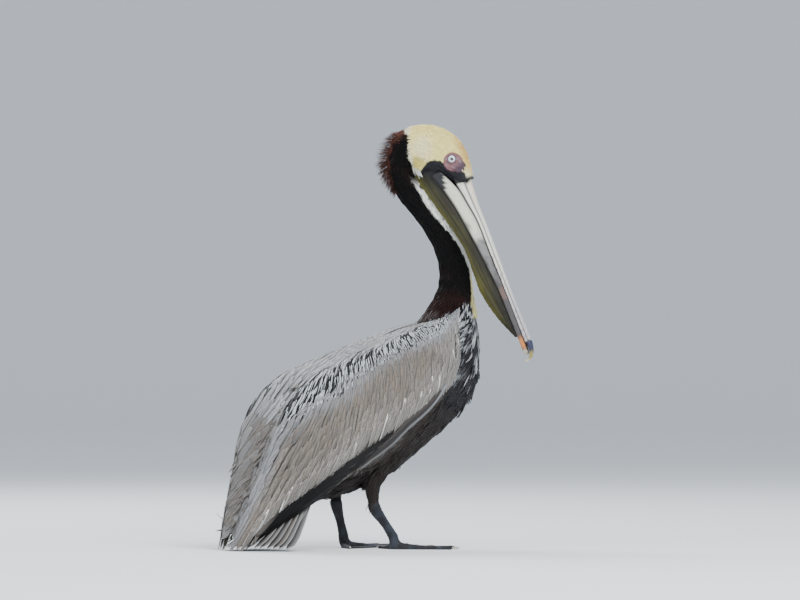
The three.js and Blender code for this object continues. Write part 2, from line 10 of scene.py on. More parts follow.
import bmesh
import bpy
import numpy as np
from bpy.props import FloatProperty, FloatVectorProperty, IntProperty, PointerProperty
from mathutils.bvhtree import BVHTree
from mathutils.kdtree import KDTree
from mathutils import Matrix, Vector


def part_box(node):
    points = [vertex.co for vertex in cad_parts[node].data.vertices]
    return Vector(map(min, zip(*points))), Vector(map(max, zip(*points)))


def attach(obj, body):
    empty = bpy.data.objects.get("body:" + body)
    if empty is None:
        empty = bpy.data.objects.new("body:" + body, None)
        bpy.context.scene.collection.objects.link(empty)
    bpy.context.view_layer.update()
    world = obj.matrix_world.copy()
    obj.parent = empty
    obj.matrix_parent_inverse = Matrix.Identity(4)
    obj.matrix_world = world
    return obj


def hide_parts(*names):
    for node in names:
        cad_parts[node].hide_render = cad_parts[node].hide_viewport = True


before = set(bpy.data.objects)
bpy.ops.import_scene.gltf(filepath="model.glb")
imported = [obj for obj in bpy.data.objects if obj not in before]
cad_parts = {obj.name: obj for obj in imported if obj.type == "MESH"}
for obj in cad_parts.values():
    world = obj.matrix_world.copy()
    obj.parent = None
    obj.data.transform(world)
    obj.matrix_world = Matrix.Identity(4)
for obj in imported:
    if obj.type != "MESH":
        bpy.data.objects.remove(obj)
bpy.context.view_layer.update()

bl_info = {
    "name": "Brown Pelican",
    "version": (1, 0, 0),
    "blender": (4, 5, 0),
    "location": "View3D > Sidebar > Pelican",
    "description": "Skin, feathers, bill, eyes and claws of a life-size standing brown pelican",
    "category": "Add Mesh",
}

# ---------------------------------------------------------------- sizes of the bird, in millimetres

MM = 0.001
BODY_NAME = "root"

# Body with its folded wings, from the shoulders to the wing tips. Each row is x and z of the mid-back, x and
# z of the breast or belly, half the width over the wings, how far the wing's crest is from the middle and
# over the mid-back, and the angle round the section from the mid-back to the wing's lower edge.
BODY = [
    [67, 370, 177, 390, 52, 30, 0, 84],
    [38, 362, 177, 345, 76, 44, -3, 94],
    [5, 349, 175, 293, 94, 56, -4, 101],
    [-30, 334, 157, 244, 104, 63, -3, 109],
    [-65, 317, 118, 203, 109, 68, 1, 119],
    [-98, 297, 72, 166, 111, 71, 8, 125],
    [-130, 272, 25, 128, 109, 75, 19, 128],
    [-157, 240, -25, 100, 104, 78, 28, 126],
    [-182, 202, -76, 77, 96, 76, 34, 130],
    [-206, 157, -126, 57, 83, 67, 33, 141],
    [-229, 108, -172, 35, 68, 53, 24, 150],
    [-249, 62, -212, 14, 54, 41, 18, 156],
    [-264, 24, -243, 2, 42, 31, 12, 160],
]
LAST_STATION = len(BODY) - 1

# Middle line of neck and head, from the base of the neck to the base of the bill: its centre, the reach and
# rise from there to the hind or upper side, and its yaw in degrees.
NECK_AND_HEAD = [
    [122, 0, 380, -55, -10, -2],
    [132, -1, 409, -39, -4, -4],
    [138, -1, 435, -30, -2, -8],
    [137, -1, 468, -27, -5, -12],
    [126, 2, 505, -24, -9, -16],
    [102, 10, 545, -18, -14, -20],
    [81, 18, 574, -17, -15, -24],
    [63, 27, 598, -19, -12, -28],
    [54, 32, 618, -22, -5, -32],
    [52, 33, 636, -24, 5, -35],
    [55, 31, 652, -21, 18, -38],
    [63, 24, 664, -16, 30, -40],
    [77, 12, 668, -8, 37, -40],
    [92, 0, 665, 3, 41, -40],
    [108, -13, 656, 11, 40, -40],
    [121, -25, 644, 15, 35, -40],
    [132, -33, 628, 15, 24, -40],
    [139.5, -40, 610, 13, 6, -40],
]

HEAD_YAW = -40  # degrees, negative to the bird's right
HEAD_CENTRE = (92, 0)
EYE = {
    "forward": 42, "lateral": 17.5, "height": 647.5, "radius": 9, "iris": 6.0, "pupil": 2.4, "opening": 6.9,
}
BILL = {"length": 321, "nail": 31, "pitch": -69, "forward": 72.7, "height": 617.5}
TAIL = {"x": -162, "z": 106, "half_root": 32, "half_tip": 80, "length": 122}
TAIL_SIDE = {"length": 62, "forward": 22, "lower": 10}

# In the bill's own frame, x runs down the bill from the forehead and z out of its ridge.
# Upper bill: x, z of the ridge, z of the cutting edge, half width.
UPPER_BILL = [
    [-14, 0, -30, 17],
    [12, -3.8, -24.5, 17.5],
    [42, -5.6, -19, 16.5],
    [72, -5.6, -14.4, 15.2],
    [130, -5, -13.6, 13.8],
    [190, -5.2, -12.2, 12.6],
    [250, -3.4, -11.6, 11.5],
    [284, -2.6, -11.6, 10.5],
    [300, -3, -12.2, 8.6],
]
# Side bars of the jaw: x, z of the upper and lower edges, half the spread over the two bars.
JAW = [
    [-30, -44, -60, 26],
    [12, -25, -47, 23.5],
    [42, -19.6, -40.5, 20.5],
    [72, -15, -36, 18.6],
    [138, -14.2, -27.6, 16],
    [190, -12.8, -22.6, 14],
    [230, -12.3, -21.2, 12],
    [268, -12.3, -20.8, 9.6],
    [304, -13.8, -21.4, 5],
]
JAW_TIP = 309

SIDES = {"right": -1, "left": 1}
FLESH = ["head", "neck_upper", "neck_lower", "trunk", "pouch"] + [
    f"{part}_{side}" for part in ("wing", "thigh", "shank", "foot", "eye") for side in SIDES
]
SWELL = 0.7  # how far the flesh parts are swollen to close the cuts between them
# How far the skin lies inside each part's surface.
COAT_DEPTH = {"head": 1.6, "neck": 2.2, "trunk": 4.0, "wing": 4.6, "thigh": 2.4, "bare": 0.0}
# Which way the spine runs, back and down.
SPINE_WAY = np.array([-0.79, 0, -0.61])
PATCH = 0.003  # width of one feather's patch on the unwrap

# ---------------------------------------------------------------- number helpers


def mix(a, b, share):
    return a + (b - a) * share


def smoothstep(value, low, high):
    share = np.clip((np.asarray(value, float) - low) / (high - low), 0, 1)
    return share * share * (3 - 2 * share)


def unit(vectors):
    return vectors / np.maximum(np.linalg.norm(vectors, axis=-1, keepdims=True), 1e-12)


def dot(a, b):
    return (a * b).sum(-1)


def heading(degrees):
    return np.array([math.cos(math.radians(degrees)), math.sin(math.radians(degrees)), 0.0])


def through(rows, at, keys=None):
    """A smooth curve through rows of numbers, read at the places `at`."""
    rows = np.asarray(rows, float)
    at = np.asarray(at, float)
    keys = np.arange(len(rows), dtype=float) if keys is None else np.asarray(keys, float)
    slopes = np.diff(rows, axis=0) / np.diff(keys)[:, None]
    tangents = np.concatenate([slopes[:1], (slopes[:-1] + slopes[1:]) / 2, slopes[-1:]])
    i = np.clip(np.searchsorted(keys, at, side="right") - 1, 0, len(rows) - 2)
    span = (keys[i + 1] - keys[i])[..., None]
    p = (at - keys[i])[..., None] / span
    before = (2 * p**3 - 3 * p**2 + 1) * rows[i] + (p**3 - 2 * p**2 + p) * span * tangents[i]
    after = (3 * p**2 - 2 * p**3) * rows[i + 1] + (p**3 - p**2) * span * tangents[i + 1]
    return before + after


def between(value, *pairs):
    """Straight lines between pairs of (place, value)."""
    places, values = zip(*pairs)
    values = np.asarray(values, float)
    if values.ndim == 1:
        return np.interp(value, places, values)
    return np.stack([np.interp(value, places, column) for column in values.T], -1)


def ripple(points, scale, seed=0):
    """A smooth, repeatable unevenness from -1 to 1 over points in millimetres."""
    rng = np.random.default_rng(seed)
    total = np.zeros(points.shape[:-1])
    for _ in range(6):
        wave = unit(rng.normal(size=3)) * rng.uniform(0.7, 1.5) * 2 * math.pi / scale
        total += np.sin(points @ wave + rng.uniform(0, 2 * math.pi))
    return total / 3.2


def linear(red, green, blue):
    """A screen colour from 0 to 255 as the linear colour that shaders use."""
    return tuple((c / 255) ** 2.2 for c in (red, green, blue))


# ---------------------------------------------------------------- places on the bird


def bird_origin():
    """Where the bird's own zero lies in the frame, from the middle between its eyes."""
    lows, highs = zip(*(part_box(f"eye_{side}") for side in SIDES))
    middle = np.mean([np.array(corner) for corner in (*lows, *highs)], axis=0)
    return middle - in_head(EYE["forward"], 0, EYE["height"]) * MM


def in_head(forward, left, height):
    """A place in the head, in the bird's own millimetres: forward and left of its centre, over the floor."""
    ahead = heading(HEAD_YAW)
    aside = heading(HEAD_YAW + 90)
    return np.array([*HEAD_CENTRE, height], float) + ahead * forward + aside * left


def head_places(points):
    """How far forward and left of the head's centre points lie, and their height."""
    from_centre = points - np.array([*HEAD_CENTRE, 0.0])
    return from_centre @ heading(HEAD_YAW), from_centre @ heading(HEAD_YAW + 90), points[..., 2]


ORIGIN = bird_origin()


def to_frame(points):
    return np.asarray(points) * MM + ORIGIN


def to_bird(points):
    return (np.asarray(points) - ORIGIN) / MM


def bill_axes():
    ahead = heading(HEAD_YAW)
    pitch = math.radians(BILL["pitch"])
    down = ahead * math.cos(pitch) + np.array([0, 0, math.sin(pitch)])
    left = heading(HEAD_YAW + 90)
    return np.array([down, left, np.cross(down, left)])


BILL_AXES = bill_axes()
BILL_ROOT = in_head(BILL["forward"], 0, BILL["height"])


def on_bill(points):
    """Points of the bill's own frame, in the bird's millimetres."""
    return np.asarray(points, float) @ BILL_AXES + BILL_ROOT


def bill_places(points):
    return (points - BILL_ROOT) @ BILL_AXES.T


class Neck:
    """The middle line of neck and head, sampled finely."""

    def __init__(self):
        self.stations = np.linspace(0, len(NECK_AND_HEAD) - 1, 171)
        rows = through(NECK_AND_HEAD, self.stations)
        self.centres = rows[:, :3]
        self.along = unit(np.gradient(self.centres, axis=0))
        yaw = np.radians(rows[:, 5])
        face = np.stack([np.cos(yaw), np.sin(yaw), np.zeros_like(yaw)], -1)
        self.left = np.stack([-face[:, 1], face[:, 0], np.zeros_like(yaw)], -1)
        self.up = unit(face * rows[:, 3:4] + np.array([0, 0, 1.0]) * rows[:, 4:5])
        self.reach = np.hypot(rows[:, 3], rows[:, 4])

    def nearest(self, points):
        """Station and angle of each point: 0 at the throat, 180 at the nape, either side alike."""
        index = np.empty(len(points), int)
        for first in range(0, len(points), 20000):
            part = points[first : first + 20000]
            apart = part[:, None] - self.centres
            off_plane = np.abs((apart * self.along).sum(-1)) + 0.35 * np.linalg.norm(apart, axis=-1)
            index[first : first + 20000] = off_plane.argmin(1)
        away = points - self.centres[index]
        angle = np.degrees(np.arctan2(np.abs(dot(away, self.left[index])), -dot(away, self.up[index])))
        return self.stations[index], angle, index


NECK = Neck()


class Wing:
    """The right wing's surface, which runs straight on past both edges.

    A place on it is a station along the body and a share of the way from its inner edge beside the spine,
    over the crest, to its lower edge.
    """

    def __init__(self):
        self.stations = np.linspace(0, LAST_STATION, 121)
        self.shares = np.linspace(-0.2, 1.12, 133)
        self.points = np.array([self.section(station) for station in self.stations])
        self.lengths = np.linalg.norm(np.diff(self.points, axis=1), axis=-1).sum(1)
        self.lengths /= self.shares[-1] - self.shares[0]
        along = np.gradient(self.points, self.stations, axis=0)
        across = np.gradient(self.points, self.shares, axis=1)
        self.outward = unit(np.cross(across, along))
        self.grids = np.concatenate([self.points, along, across, self.outward], axis=-1)

    def section(self, station):
        back_x, back_z, breast_x, breast_z, half_width, crest_side, crest_over, edge = through(BODY, station)
        back = np.array([back_x, 0, back_z])
        centre = (back + np.array([breast_x, 0, breast_z])) / 2
        depth = np.linalg.norm(back - centre)
        up = (back - centre) / depth
        edge = math.radians(edge)
        inner = min(mix(24, 8, smoothstep(station, 2, 9)), crest_side * 0.7)
        corners = [
            [inner, depth],
            [crest_side, depth + crest_over],
            [half_width, 0.12 * depth],
            [0.96 * half_width * math.sin(edge), depth * math.cos(edge)],
        ]
        curve = through(corners, np.linspace(0, 3, 121))
        steps = np.concatenate([[0], np.cumsum(np.linalg.norm(np.diff(curve, axis=0), axis=1))])
        distance = self.shares * steps[-1]
        inside = np.clip(distance, 0, steps[-1])
        place = np.stack([np.interp(inside, steps, column) for column in curve.T], -1)
        first, last = unit(curve[1] - curve[0]), unit(curve[-1] - curve[-2])
        place += np.minimum(distance, 0)[:, None] * first
        place += np.maximum(distance - steps[-1], 0)[:, None] * last
        section = centre + place[:, 1:] * up
        section[:, 1] = -place[:, 0]
        return section

    def read(self, station, share):
        """The surface's point, its steps along and across, and its outward direction."""
        i = np.clip((station - self.stations[0]) / (self.stations[1] - self.stations[0]), 0, 119.999)
        j = np.clip((share - self.shares[0]) / (self.shares[1] - self.shares[0]), 0, 131.999)
        low_i, low_j = i.astype(int), j.astype(int)
        a, b = (i - low_i)[..., None], (j - low_j)[..., None]
        g = self.grids
        near = mix(g[low_i, low_j], g[low_i, low_j + 1], b)
        far = mix(g[low_i + 1, low_j], g[low_i + 1, low_j + 1], b)
        value = mix(near, far, a)
        past = (np.maximum(station - LAST_STATION, 0) + np.minimum(station, 0))[..., None]
        place, along, across, outward = np.split(value, 4, axis=-1)
        return place + past * along, along, across, unit(outward)

    def length(self, station):
        return np.interp(station, self.stations, self.lengths)

    def walk(self, station, share, lie, length, steps):
        """Paths of feathers over the surface, from their roots, by the direction that `lie` gives."""
        stations, shares = [station], [share]
        step = length / steps
        for _ in range(steps):
            _, along, across, outward = self.read(station, share)
            way = lie(station, share, along, across)
            way = unit(way - outward * dot(way, outward)[:, None])
            a, b, c = dot(along, along), dot(along, across), dot(across, across)
            p, q = dot(along, way) * step, dot(across, way) * step
            whole = a * c - b * b
            station = station + (c * p - b * q) / whole
            share = np.clip(share + (a * q - b * p) / whole, -0.18, 1.11)
            stations.append(station)
            shares.append(share)
        return np.stack(stations, 1), np.stack(shares, 1)


WING = Wing()

# ---------------------------------------------------------------- colours

COLOURS = {
    "black": linear(11, 10, 11),
    "umber": linear(38, 21, 18),
    "white": linear(236, 237, 230),
    "cream": linear(240, 228, 164),
    "crown": linear(244, 230, 146),
    "cheek": linear(240, 234, 208),
    "olive_down": linear(203, 190, 100),
    "tan": linear(206, 152, 88),
    "chestnut": linear(92, 58, 47),
    "crest_tip": linear(34, 26, 30),
    "silver": linear(196, 201, 205),
    "mantle": linear(144, 144, 145),
    "mantle_pale": linear(168, 170, 173),
    "breast": linear(26, 25, 29),
    "belly": linear(38, 32, 29),
    "blue_grey": linear(158, 167, 180),
    "blue_dark": linear(92, 96, 104),
    "covert": linear(114, 109, 104),
    "covert_warm": linear(118, 108, 98),
    "covert_pale": linear(140, 138, 135),
    "covert_edge": linear(206, 205, 200),
    "tertial": linear(136, 134, 134),
    "flight": linear(20, 19, 21),
    "gape": linear(17, 17, 24),
    "ring": linear(120, 86, 88),
    "ring_pale": linear(130, 114, 120),
    "ring_edge": linear(124, 66, 74),
    "mauve": linear(42, 34, 52),
    "pouch_top": linear(44, 42, 34),
    "pouch": linear(64, 62, 38),
    "pouch_keel": linear(88, 85, 38),
    "leg": linear(27, 28, 32),
    # Painted sheen: a bluish highlight laid into the colour of legs and feet.
    "leg_painted_sheen": linear(54, 60, 70),
    "under": linear(84, 78, 76),
}


def paint(base, name, share):
    """Lays a named colour over rows of colours, by a share for each row."""
    share = np.clip(share, 0, 1)[:, None]
    return base * (1 - share) + np.array(COLOURS[name]) * share


def tint(base, colour, share):
    """Colours mixed by a share with one that is given by its sRGB values."""
    return mix(base, np.array(linear(*colour)), share[..., None])


def gape_top(forward):
    """Height of the upper edge of the bare black skin at the side of the face."""
    return between(
        forward,
        (-18, 600), (-16, 617), (-11, 628), (1, 641), (10, 646), (24, 645), (32, 640), (44, 634),
        (60, 627), (70, 620), (80, 612), (90, 606)
    )


def face_masks(points):
    """Shares of the eye's ring, of its outer edge, of mauve in it and of black bare skin round the gape."""
    forward, _, height = head_places(points)
    wobble = 0.8 * ripple(points, 9, 3) + 0.4 * ripple(points, 4, 4)
    apart = np.hypot(forward - 45, (height - 643) * 0.97)
    drop = np.hypot(forward - 57, height - 635) + 6.0
    reach = 0.5 * wobble - 1.6 * np.log(np.exp(-apart / 1.6) + np.exp(-drop / 1.6))
    ring = 1 - smoothstep(reach, 14.2, 15.6)
    outline = ring * smoothstep(reach, 11.5, 14.5)
    bare = 1 - smoothstep(height - gape_top(forward) + wobble, -1.0, 1.0)
    bare *= smoothstep(forward + wobble, -18, -15.5) * smoothstep(height + wobble, 596, 600)
    bare *= 1 - smoothstep(forward + 0.35 * (height - 612) + wobble, 67, 70)
    mauve = smoothstep(forward - 0.9 * (height - 640) + 4 * ripple(points, 8, 6), 46, 66)
    return ring, outline, mauve * ring, bare * (1 - ring)


def neck_ink(points, station, angle):
    """Share of black on neck and head, 0 on the pale front of the neck and on the head."""
    forward, _, height = head_places(points)
    wobble = 0.6 * ripple(points, 11, 5)
    edge = between(
        station,
        (0, 20), (0.95, 33), (1.4, 46), (2.4, 42), (3.05, 44), (3.6, 54), (4.2, 62), (4.95, 75),
        (5.45, 77), (6.05, 72), (6.65, 57), (7.85, 49), (9, 47)
    )
    sides = smoothstep(angle - edge + 1.6 * wobble, -2.5, 2.5)
    border = between(height, (590, -12), (599, -14), (621, -24), (637, -26), (687, -25), (694, -36))
    behind = 1 - smoothstep(forward - border + wobble, -1.4, 1.4)
    return mix(sides, behind, smoothstep(height, 596, 622))


def neck_foot(points, station, angle):
    """Share that lies past the foot of the neck's black, on the shoulders and the breast."""
    end = between(angle, (20, 1.7), (46, 1.45), (74, 1.05), (97, 0.45), (127, 0.05), (157, -0.1), (180, -0.2))
    height = station - end + 0.12 * ripple(points, 14, 7)
    return 1 - smoothstep(height, -0.1, 0.1)


def coat_colours(points, part):
    """Colour of the coat over the skin, colour of its feathers' rims, and how much of each feather is rim."""
    station, angle, _ = NECK.nearest(points)
    count = len(points)
    forward, _, height = head_places(points)
    tone = np.tile(COLOURS["breast"], (count, 1))
    rim = np.tile(COLOURS["blue_grey"], (count, 1))
    # Breast, belly and the strip of back between the wings.
    low = 1 - smoothstep(points[:, 2], 190, 300)
    tone = paint(tone, "belly", low)
    rim = paint(rim, "under", 0.75 * low)
    from_neck = points - np.array([100, 0, 360])
    beyond = from_neck @ SPINE_WAY
    over = from_neck @ np.array([-0.61, 0, 0.79])
    back = smoothstep(beyond, -10, 30) * smoothstep(over, -36, -12)
    tone = paint(tone, "mantle", back)
    rim = paint(rim, "covert_edge", back)
    side = smoothstep(np.abs(points[:, 1]), 12, 46)
    streaky = (1 - smoothstep(np.linalg.norm(from_neck * [1, 1, 0.9], axis=1), 45, 128)) * (1 - back)
    streaky *= mix(0.6, 1, side)
    flow = np.column_stack([0.13 * beyond, points[:, 1], over])
    stripes = ripple(flow, 6, 17) + 0.5 * ripple(flow, 4, 18)
    pale_streak = smoothstep(stripes - mix(0.85, -0.05, streaky), 0, 0.3) * smoothstep(streaky, 0.05, 0.4)
    tone = paint(tone, "silver", 0.9 * pale_streak)
    rim = paint(rim, "silver", pale_streak)
    rim = paint(rim, "breast", 0.7 * (1 - pale_streak))
    share = np.full(count, 0.18)
    fringe = smoothstep(over, -6, 6) * (1 - smoothstep(np.abs(beyond - 22), 12, 22))
    fringe *= 1 - smoothstep(np.abs(points[:, 1]), 22, 34)
    tone = paint(tone, "white", fringe)
    rim = paint(rim, "white", fringe)
    # Neck and head.
    on_neck = part_is(part, "head", "neck")
    foot = neck_foot(points, station, angle)
    ink = neck_ink(points, station, angle)
    pale = np.tile(COLOURS["white"], (count, 1))
    pale = paint(pale, "cream", 1 - smoothstep(station, 2.2, 3.2))
    crown = smoothstep(height, 600, 640) * smoothstep(station, 8.4, 9.6)
    pale = paint(pale, "crown", crown)
    cheek = 1 - smoothstep(np.hypot(forward + 3, (height - 664) * 0.8), 8, 24)
    pale = paint(pale, "cheek", 0.45 * crown * cheek)
    behind_eye = 1 - smoothstep(np.hypot(forward + 13, height - 640), 5, 16)
    pale = paint(pale, "olive_down", 0.8 * crown * behind_eye)
    pale = paint(pale, "white", 0.7 * crown * (1 - smoothstep(forward + 25 - 0.1 * (637 - height), 2, 8)))
    brow = smoothstep(forward - 0.42 * (672 - height), 43, 57) + 0.2 * smoothstep(height, 686, 697)
    pale = paint(pale, "tan", 0.85 * crown * np.clip(brow, 0, 1) * (0.75 + 0.25 * ripple(points, 10, 9)))
    dark = np.tile(COLOURS["black"], (count, 1))
    brown = 0.8 * (1 - smoothstep(station, 0.4, 2.4)) + 0.25 * (ripple(points, 40, 13) > 0.4)
    dark = paint(dark, "umber", brown)
    nape = smoothstep(angle + 9 * ripple(points, 16, 15), 116, 140) * smoothstep(station, 7.4, 8.8)
    dark = paint(dark, "chestnut", 0.75 * nape)
    neck = pale * (1 - ink[:, None]) + dark * ink[:, None]
    neck_share = on_neck * (1 - foot)
    tone = mix(tone, neck, neck_share[:, None])
    rim = mix(rim, neck * 1.06, neck_share[:, None])
    share = share * (1 - neck_share)
    cream = on_neck * foot * (1 - smoothstep(angle, 36, 50))
    tone, rim = paint(tone, "cream", cream), paint(rim, "cream", cream)
    thigh = part_is(part, "thigh")
    tone, rim = paint(tone, "belly", thigh), paint(rim, "under", thigh)
    wing = part_is(part, "wing")
    tone, rim = paint(tone, "covert", wing), paint(rim, "covert_edge", 0.6 * wing)
    return tone, rim, share


def bare_colours(points, part):
    """Colour and gloss of bare skin: face, pouch, legs and feet."""
    ring, outline, mauve, _ = face_masks(points)
    count = len(points)
    colours = np.tile(COLOURS["gape"], (count, 1))
    colours = paint(colours, "ring", ring)
    colours = paint(colours, "ring_pale", 0.8 * ring * smoothstep(ripple(points, 9, 8), -0.2, 0.7))
    colours = paint(colours, "mauve", 0.85 * mauve)
    colours = paint(colours, "ring_edge", 0.7 * outline * (1 - mauve))
    along, _, up = bill_places(points).T
    keel = between(
        along, (-42, -92), (14, -80), (80, -61), (135, -55.5), (192, -56), (251, -38.5), (276, -27.5)
    )
    top = between(along, (-30, -60), (12, -47), (72, -36), (138, -27.6), (268, -20.8))
    hang = np.clip((top - up) / np.maximum(top - keel, 4), -0.5, 1.1)
    pouch = part_is(part, "pouch")
    skin = np.tile(COLOURS["pouch_top"], (count, 1))
    skin = paint(skin, "pouch", smoothstep(hang + 0.1 * ripple(points, 60, 21), 0.12, 0.5))
    skin = paint(skin, "pouch_keel", 0.9 * smoothstep(hang + 0.08 * ripple(points, 45, 22), 0.62, 0.95))
    skin = paint(skin, "gape", 0.75 * (1 - smoothstep(along, -28, 4)) * (1 - smoothstep(hang, 0.3, 0.8)))
    skin = paint(skin, "gape", 0.55 * smoothstep(along, 200, 268))
    # A thin dark line along the pouch's deep fold: painted shade in its crease.
    skin = paint(skin, "gape", 0.6 * (1 - smoothstep(np.abs(hang - 0.55 + 0.0012 * along), 0.015, 0.06)))
    colours = mix(colours, skin, pouch[:, None])
    legs = part_is(part, "shank", "foot")
    colours = paint(colours, "leg", legs)
    # Patches of painted sheen on legs and feet: a bluish highlight mixed into the skin's colour.
    painted_sheen = legs * smoothstep(ripple(points, 26, 31), -0.2, 0.9)
    colours = paint(colours, "leg_painted_sheen", 0.6 * painted_sheen)
    gloss = 0.35 + 0.1 * ring + 0.12 * legs
    return colours, gloss


# ---------------------------------------------------------------- making meshes

PARTS = ["head", "neck", "trunk", "wing", "thigh", "shank", "foot", "pouch"]


def part_of(node):
    name = node.split("_")[0]
    return PARTS.index("head" if name == "eye" else name)


def part_is(part, *names):
    return np.isin(part, [PARTS.index(name) for name in names]).astype(float)


def make_mesh(name, points, faces, smooth=True):
    """A mesh object from points in the bird's millimetres and arrays of faces with 3, 4 or more corners."""
    mesh = bpy.data.meshes.new(name)
    mesh.vertices.add(len(points))
    mesh.vertices.foreach_set("co", to_frame(points).astype(np.float32).ravel())
    corners = np.concatenate([block.ravel() for block in faces])
    sizes = np.concatenate([np.full(len(block), block.shape[1]) for block in faces])
    mesh.loops.add(len(corners))
    mesh.loops.foreach_set("vertex_index", corners.astype(np.int32))
    mesh.polygons.add(len(sizes))
    starts = np.concatenate([[0], np.cumsum(sizes)[:-1]])
    mesh.polygons.foreach_set("loop_start", starts.astype(np.int32))
    mesh.polygons.foreach_set("use_smooth", np.full(len(sizes), smooth))
    mesh.update(calc_edges=True)
    mesh.validate()
    thing = bpy.data.objects.new(name, mesh)
    bpy.context.scene.collection.objects.link(thing)
    return thing


def put(mesh, name, kind, values, domain="POINT"):
    field = {"FLOAT_COLOR": "color", "FLOAT_VECTOR": "vector", "FLOAT": "value", "FLOAT2": "vector"}[kind]
    attribute = mesh.attributes.new(name, kind, domain)
    attribute.data.foreach_set(field, np.ascontiguousarray(values, np.float32).ravel())


def put_colour(mesh, name, colours, alpha):
    alpha = np.broadcast_to(alpha, len(colours))
    put(mesh, name, "FLOAT_COLOR", np.column_stack([np.clip(colours, 0, 1), alpha]))


def places(mesh):
    values = np.empty(len(mesh.vertices) * 3, np.float32)
    mesh.vertices.foreach_get("co", values)
    return to_bird(values.reshape(-1, 3).astype(float))


def normals_of(mesh):
    values = np.empty(len(mesh.vertices) * 3, np.float32)
    mesh.vertex_normals.foreach_get("vector", values)
    return values.reshape(-1, 3).astype(float)


def edges_of(mesh):
    values = np.empty(len(mesh.edges) * 2, np.int32)
    mesh.edges.foreach_get("vertices", values)
    return values.reshape(-1, 2)


def move(mesh, points):
    mesh.vertices.foreach_set("co", to_frame(points).astype(np.float32).ravel())
    mesh.update()


def corner_vertices(mesh):
    values = np.empty(len(mesh.loops), np.int32)
    mesh.loops.foreach_get("vertex_index", values)
    return values


def settled(thing, name):
    """A plain mesh object of what a thing's modifiers make, in place of the thing."""
    graph = bpy.context.evaluated_depsgraph_get()
    mesh = bpy.data.meshes.new_from_object(
        thing.evaluated_get(graph), preserve_all_data_layers=True, depsgraph=graph
    )
    mesh.name = name
    bpy.data.objects.remove(thing, do_unlink=True)
    made = bpy.data.objects.new(name, mesh)
    bpy.context.scene.collection.objects.link(made)
    return made


class Spread:
    """Averages of values over the neighbours of a mesh's vertices."""

    def __init__(self, mesh):
        self.edges = edges_of(mesh)
        self.count = len(mesh.vertices)
        self.degree = np.maximum(np.bincount(self.edges.ravel(), minlength=self.count), 1)

    def around(self, values):
        a, b = self.edges.T
        flat = values.reshape(self.count, -1)
        total = [
            np.bincount(a, column[b], self.count) + np.bincount(b, column[a], self.count) for column in flat.T
        ]
        return (np.array(total) / self.degree).T.reshape(values.shape)

    def calm(self, values, rounds, share=0.5):
        for _ in range(rounds):
            values = mix(values, self.around(values), share)
        return values

    def fair(self, points, rounds, hold=None):
        """Smooths without shrinking. `hold` is a share for each vertex of how much it moves."""
        hold = 1.0 if hold is None else hold[:, None]
        for _ in range(rounds):
            points = points + 0.5 * hold * (self.around(points) - points)
            points = points - 0.52 * hold * (self.around(points) - points)
        return points


def islands(count, edges):
    labels = np.arange(count)
    a, b = edges.T
    while True:
        before = labels.copy()
        low = np.minimum(labels[a], labels[b])
        np.minimum.at(labels, a, low)
        np.minimum.at(labels, b, low)
        labels = labels[labels]
        if (labels == before).all():
            return labels


# ---------------------------------------------------------------- skin


def flesh(swell):
    """The flesh nodes as one mesh, each merged and swollen, with the part that each face belongs to."""
    points, faces, parts = [], [], []
    start = 0
    for name in FLESH:
        work = bmesh.new()
        work.from_mesh(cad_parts[name].data)
        bmesh.ops.remove_doubles(work, verts=work.verts, dist=0.02 * MM)
        bmesh.ops.triangulate(work, faces=work.faces)
        work.normal_update()
        place = np.array([v.co + v.normal * (swell * MM) for v in work.verts])
        corners = np.array([[v.index for v in face.verts] for face in work.faces])
        work.free()
        points.append(to_bird(place))
        faces.append(corners + start)
        parts.append(np.full(len(corners), part_of(name)))
        start += len(place)
    return np.concatenate(points), np.concatenate(faces), np.concatenate(parts)


def closed_skin(voxel):
    """One closed surface round all the flesh, as an object with no modifiers."""
    points, faces, _ = flesh(SWELL)
    body = make_mesh("Skin", points, [faces])
    remesh = body.modifiers.new("Remesh", "REMESH")
    remesh.mode = "VOXEL"
    remesh.voxel_size = voxel * MM
    remesh.use_smooth_shade = True
    body = settled(body, "Skin")
    labels = islands(len(body.data.vertices), edges_of(body.data))
    kept = np.bincount(labels).argmax()
    if (labels != kept).any():
        work = bmesh.new()
        work.from_mesh(body.data)
        work.verts.ensure_lookup_table()
        bmesh.ops.delete(work, geom=[work.verts[i] for i in np.flatnonzero(labels != kept)], context="VERTS")
        work.to_mesh(body.data)
        work.free()
    return body


def parts_near(points):
    """The part whose node is nearest to each point."""
    flesh_points, faces, parts = flesh(0)
    tree = BVHTree.FromPolygons(flesh_points.tolist(), faces.tolist())
    index = np.array([tree.find_nearest(point)[2] for point in points.tolist()])
    return parts[index]


def eye_places(points, side):
    """Distance of points from an eye's axis, and their height along it from the ball's middle."""
    middle, axis = eye_axis(side)
    away = points - middle
    up = away @ axis
    return np.linalg.norm(away - up[:, None] * axis, axis=1), up, middle, axis


def eye_axis(side):
    turn = HEAD_YAW + 75 * SIDES[side]
    return in_head(EYE["forward"], EYE["lateral"] * SIDES[side], EYE["height"]), heading(turn)


def feathered(points, part):
    """How much of the skin feathers cover, from 0 on bare skin to 1."""
    ring, _, _, gape = face_masks(points)
    cover = part_is(part, "head", "neck", "trunk", "thigh", "wing")
    bare = np.clip(ring + gape, 0, 1) * part_is(part, "head", "neck")
    forward, _, _ = head_places(points)
    front = smoothstep(bill_places(points)[:, 0], -6, 2) * smoothstep(forward, 40, 60) * part_is(part, "head")
    return cover * (1 - bare) * (1 - front)


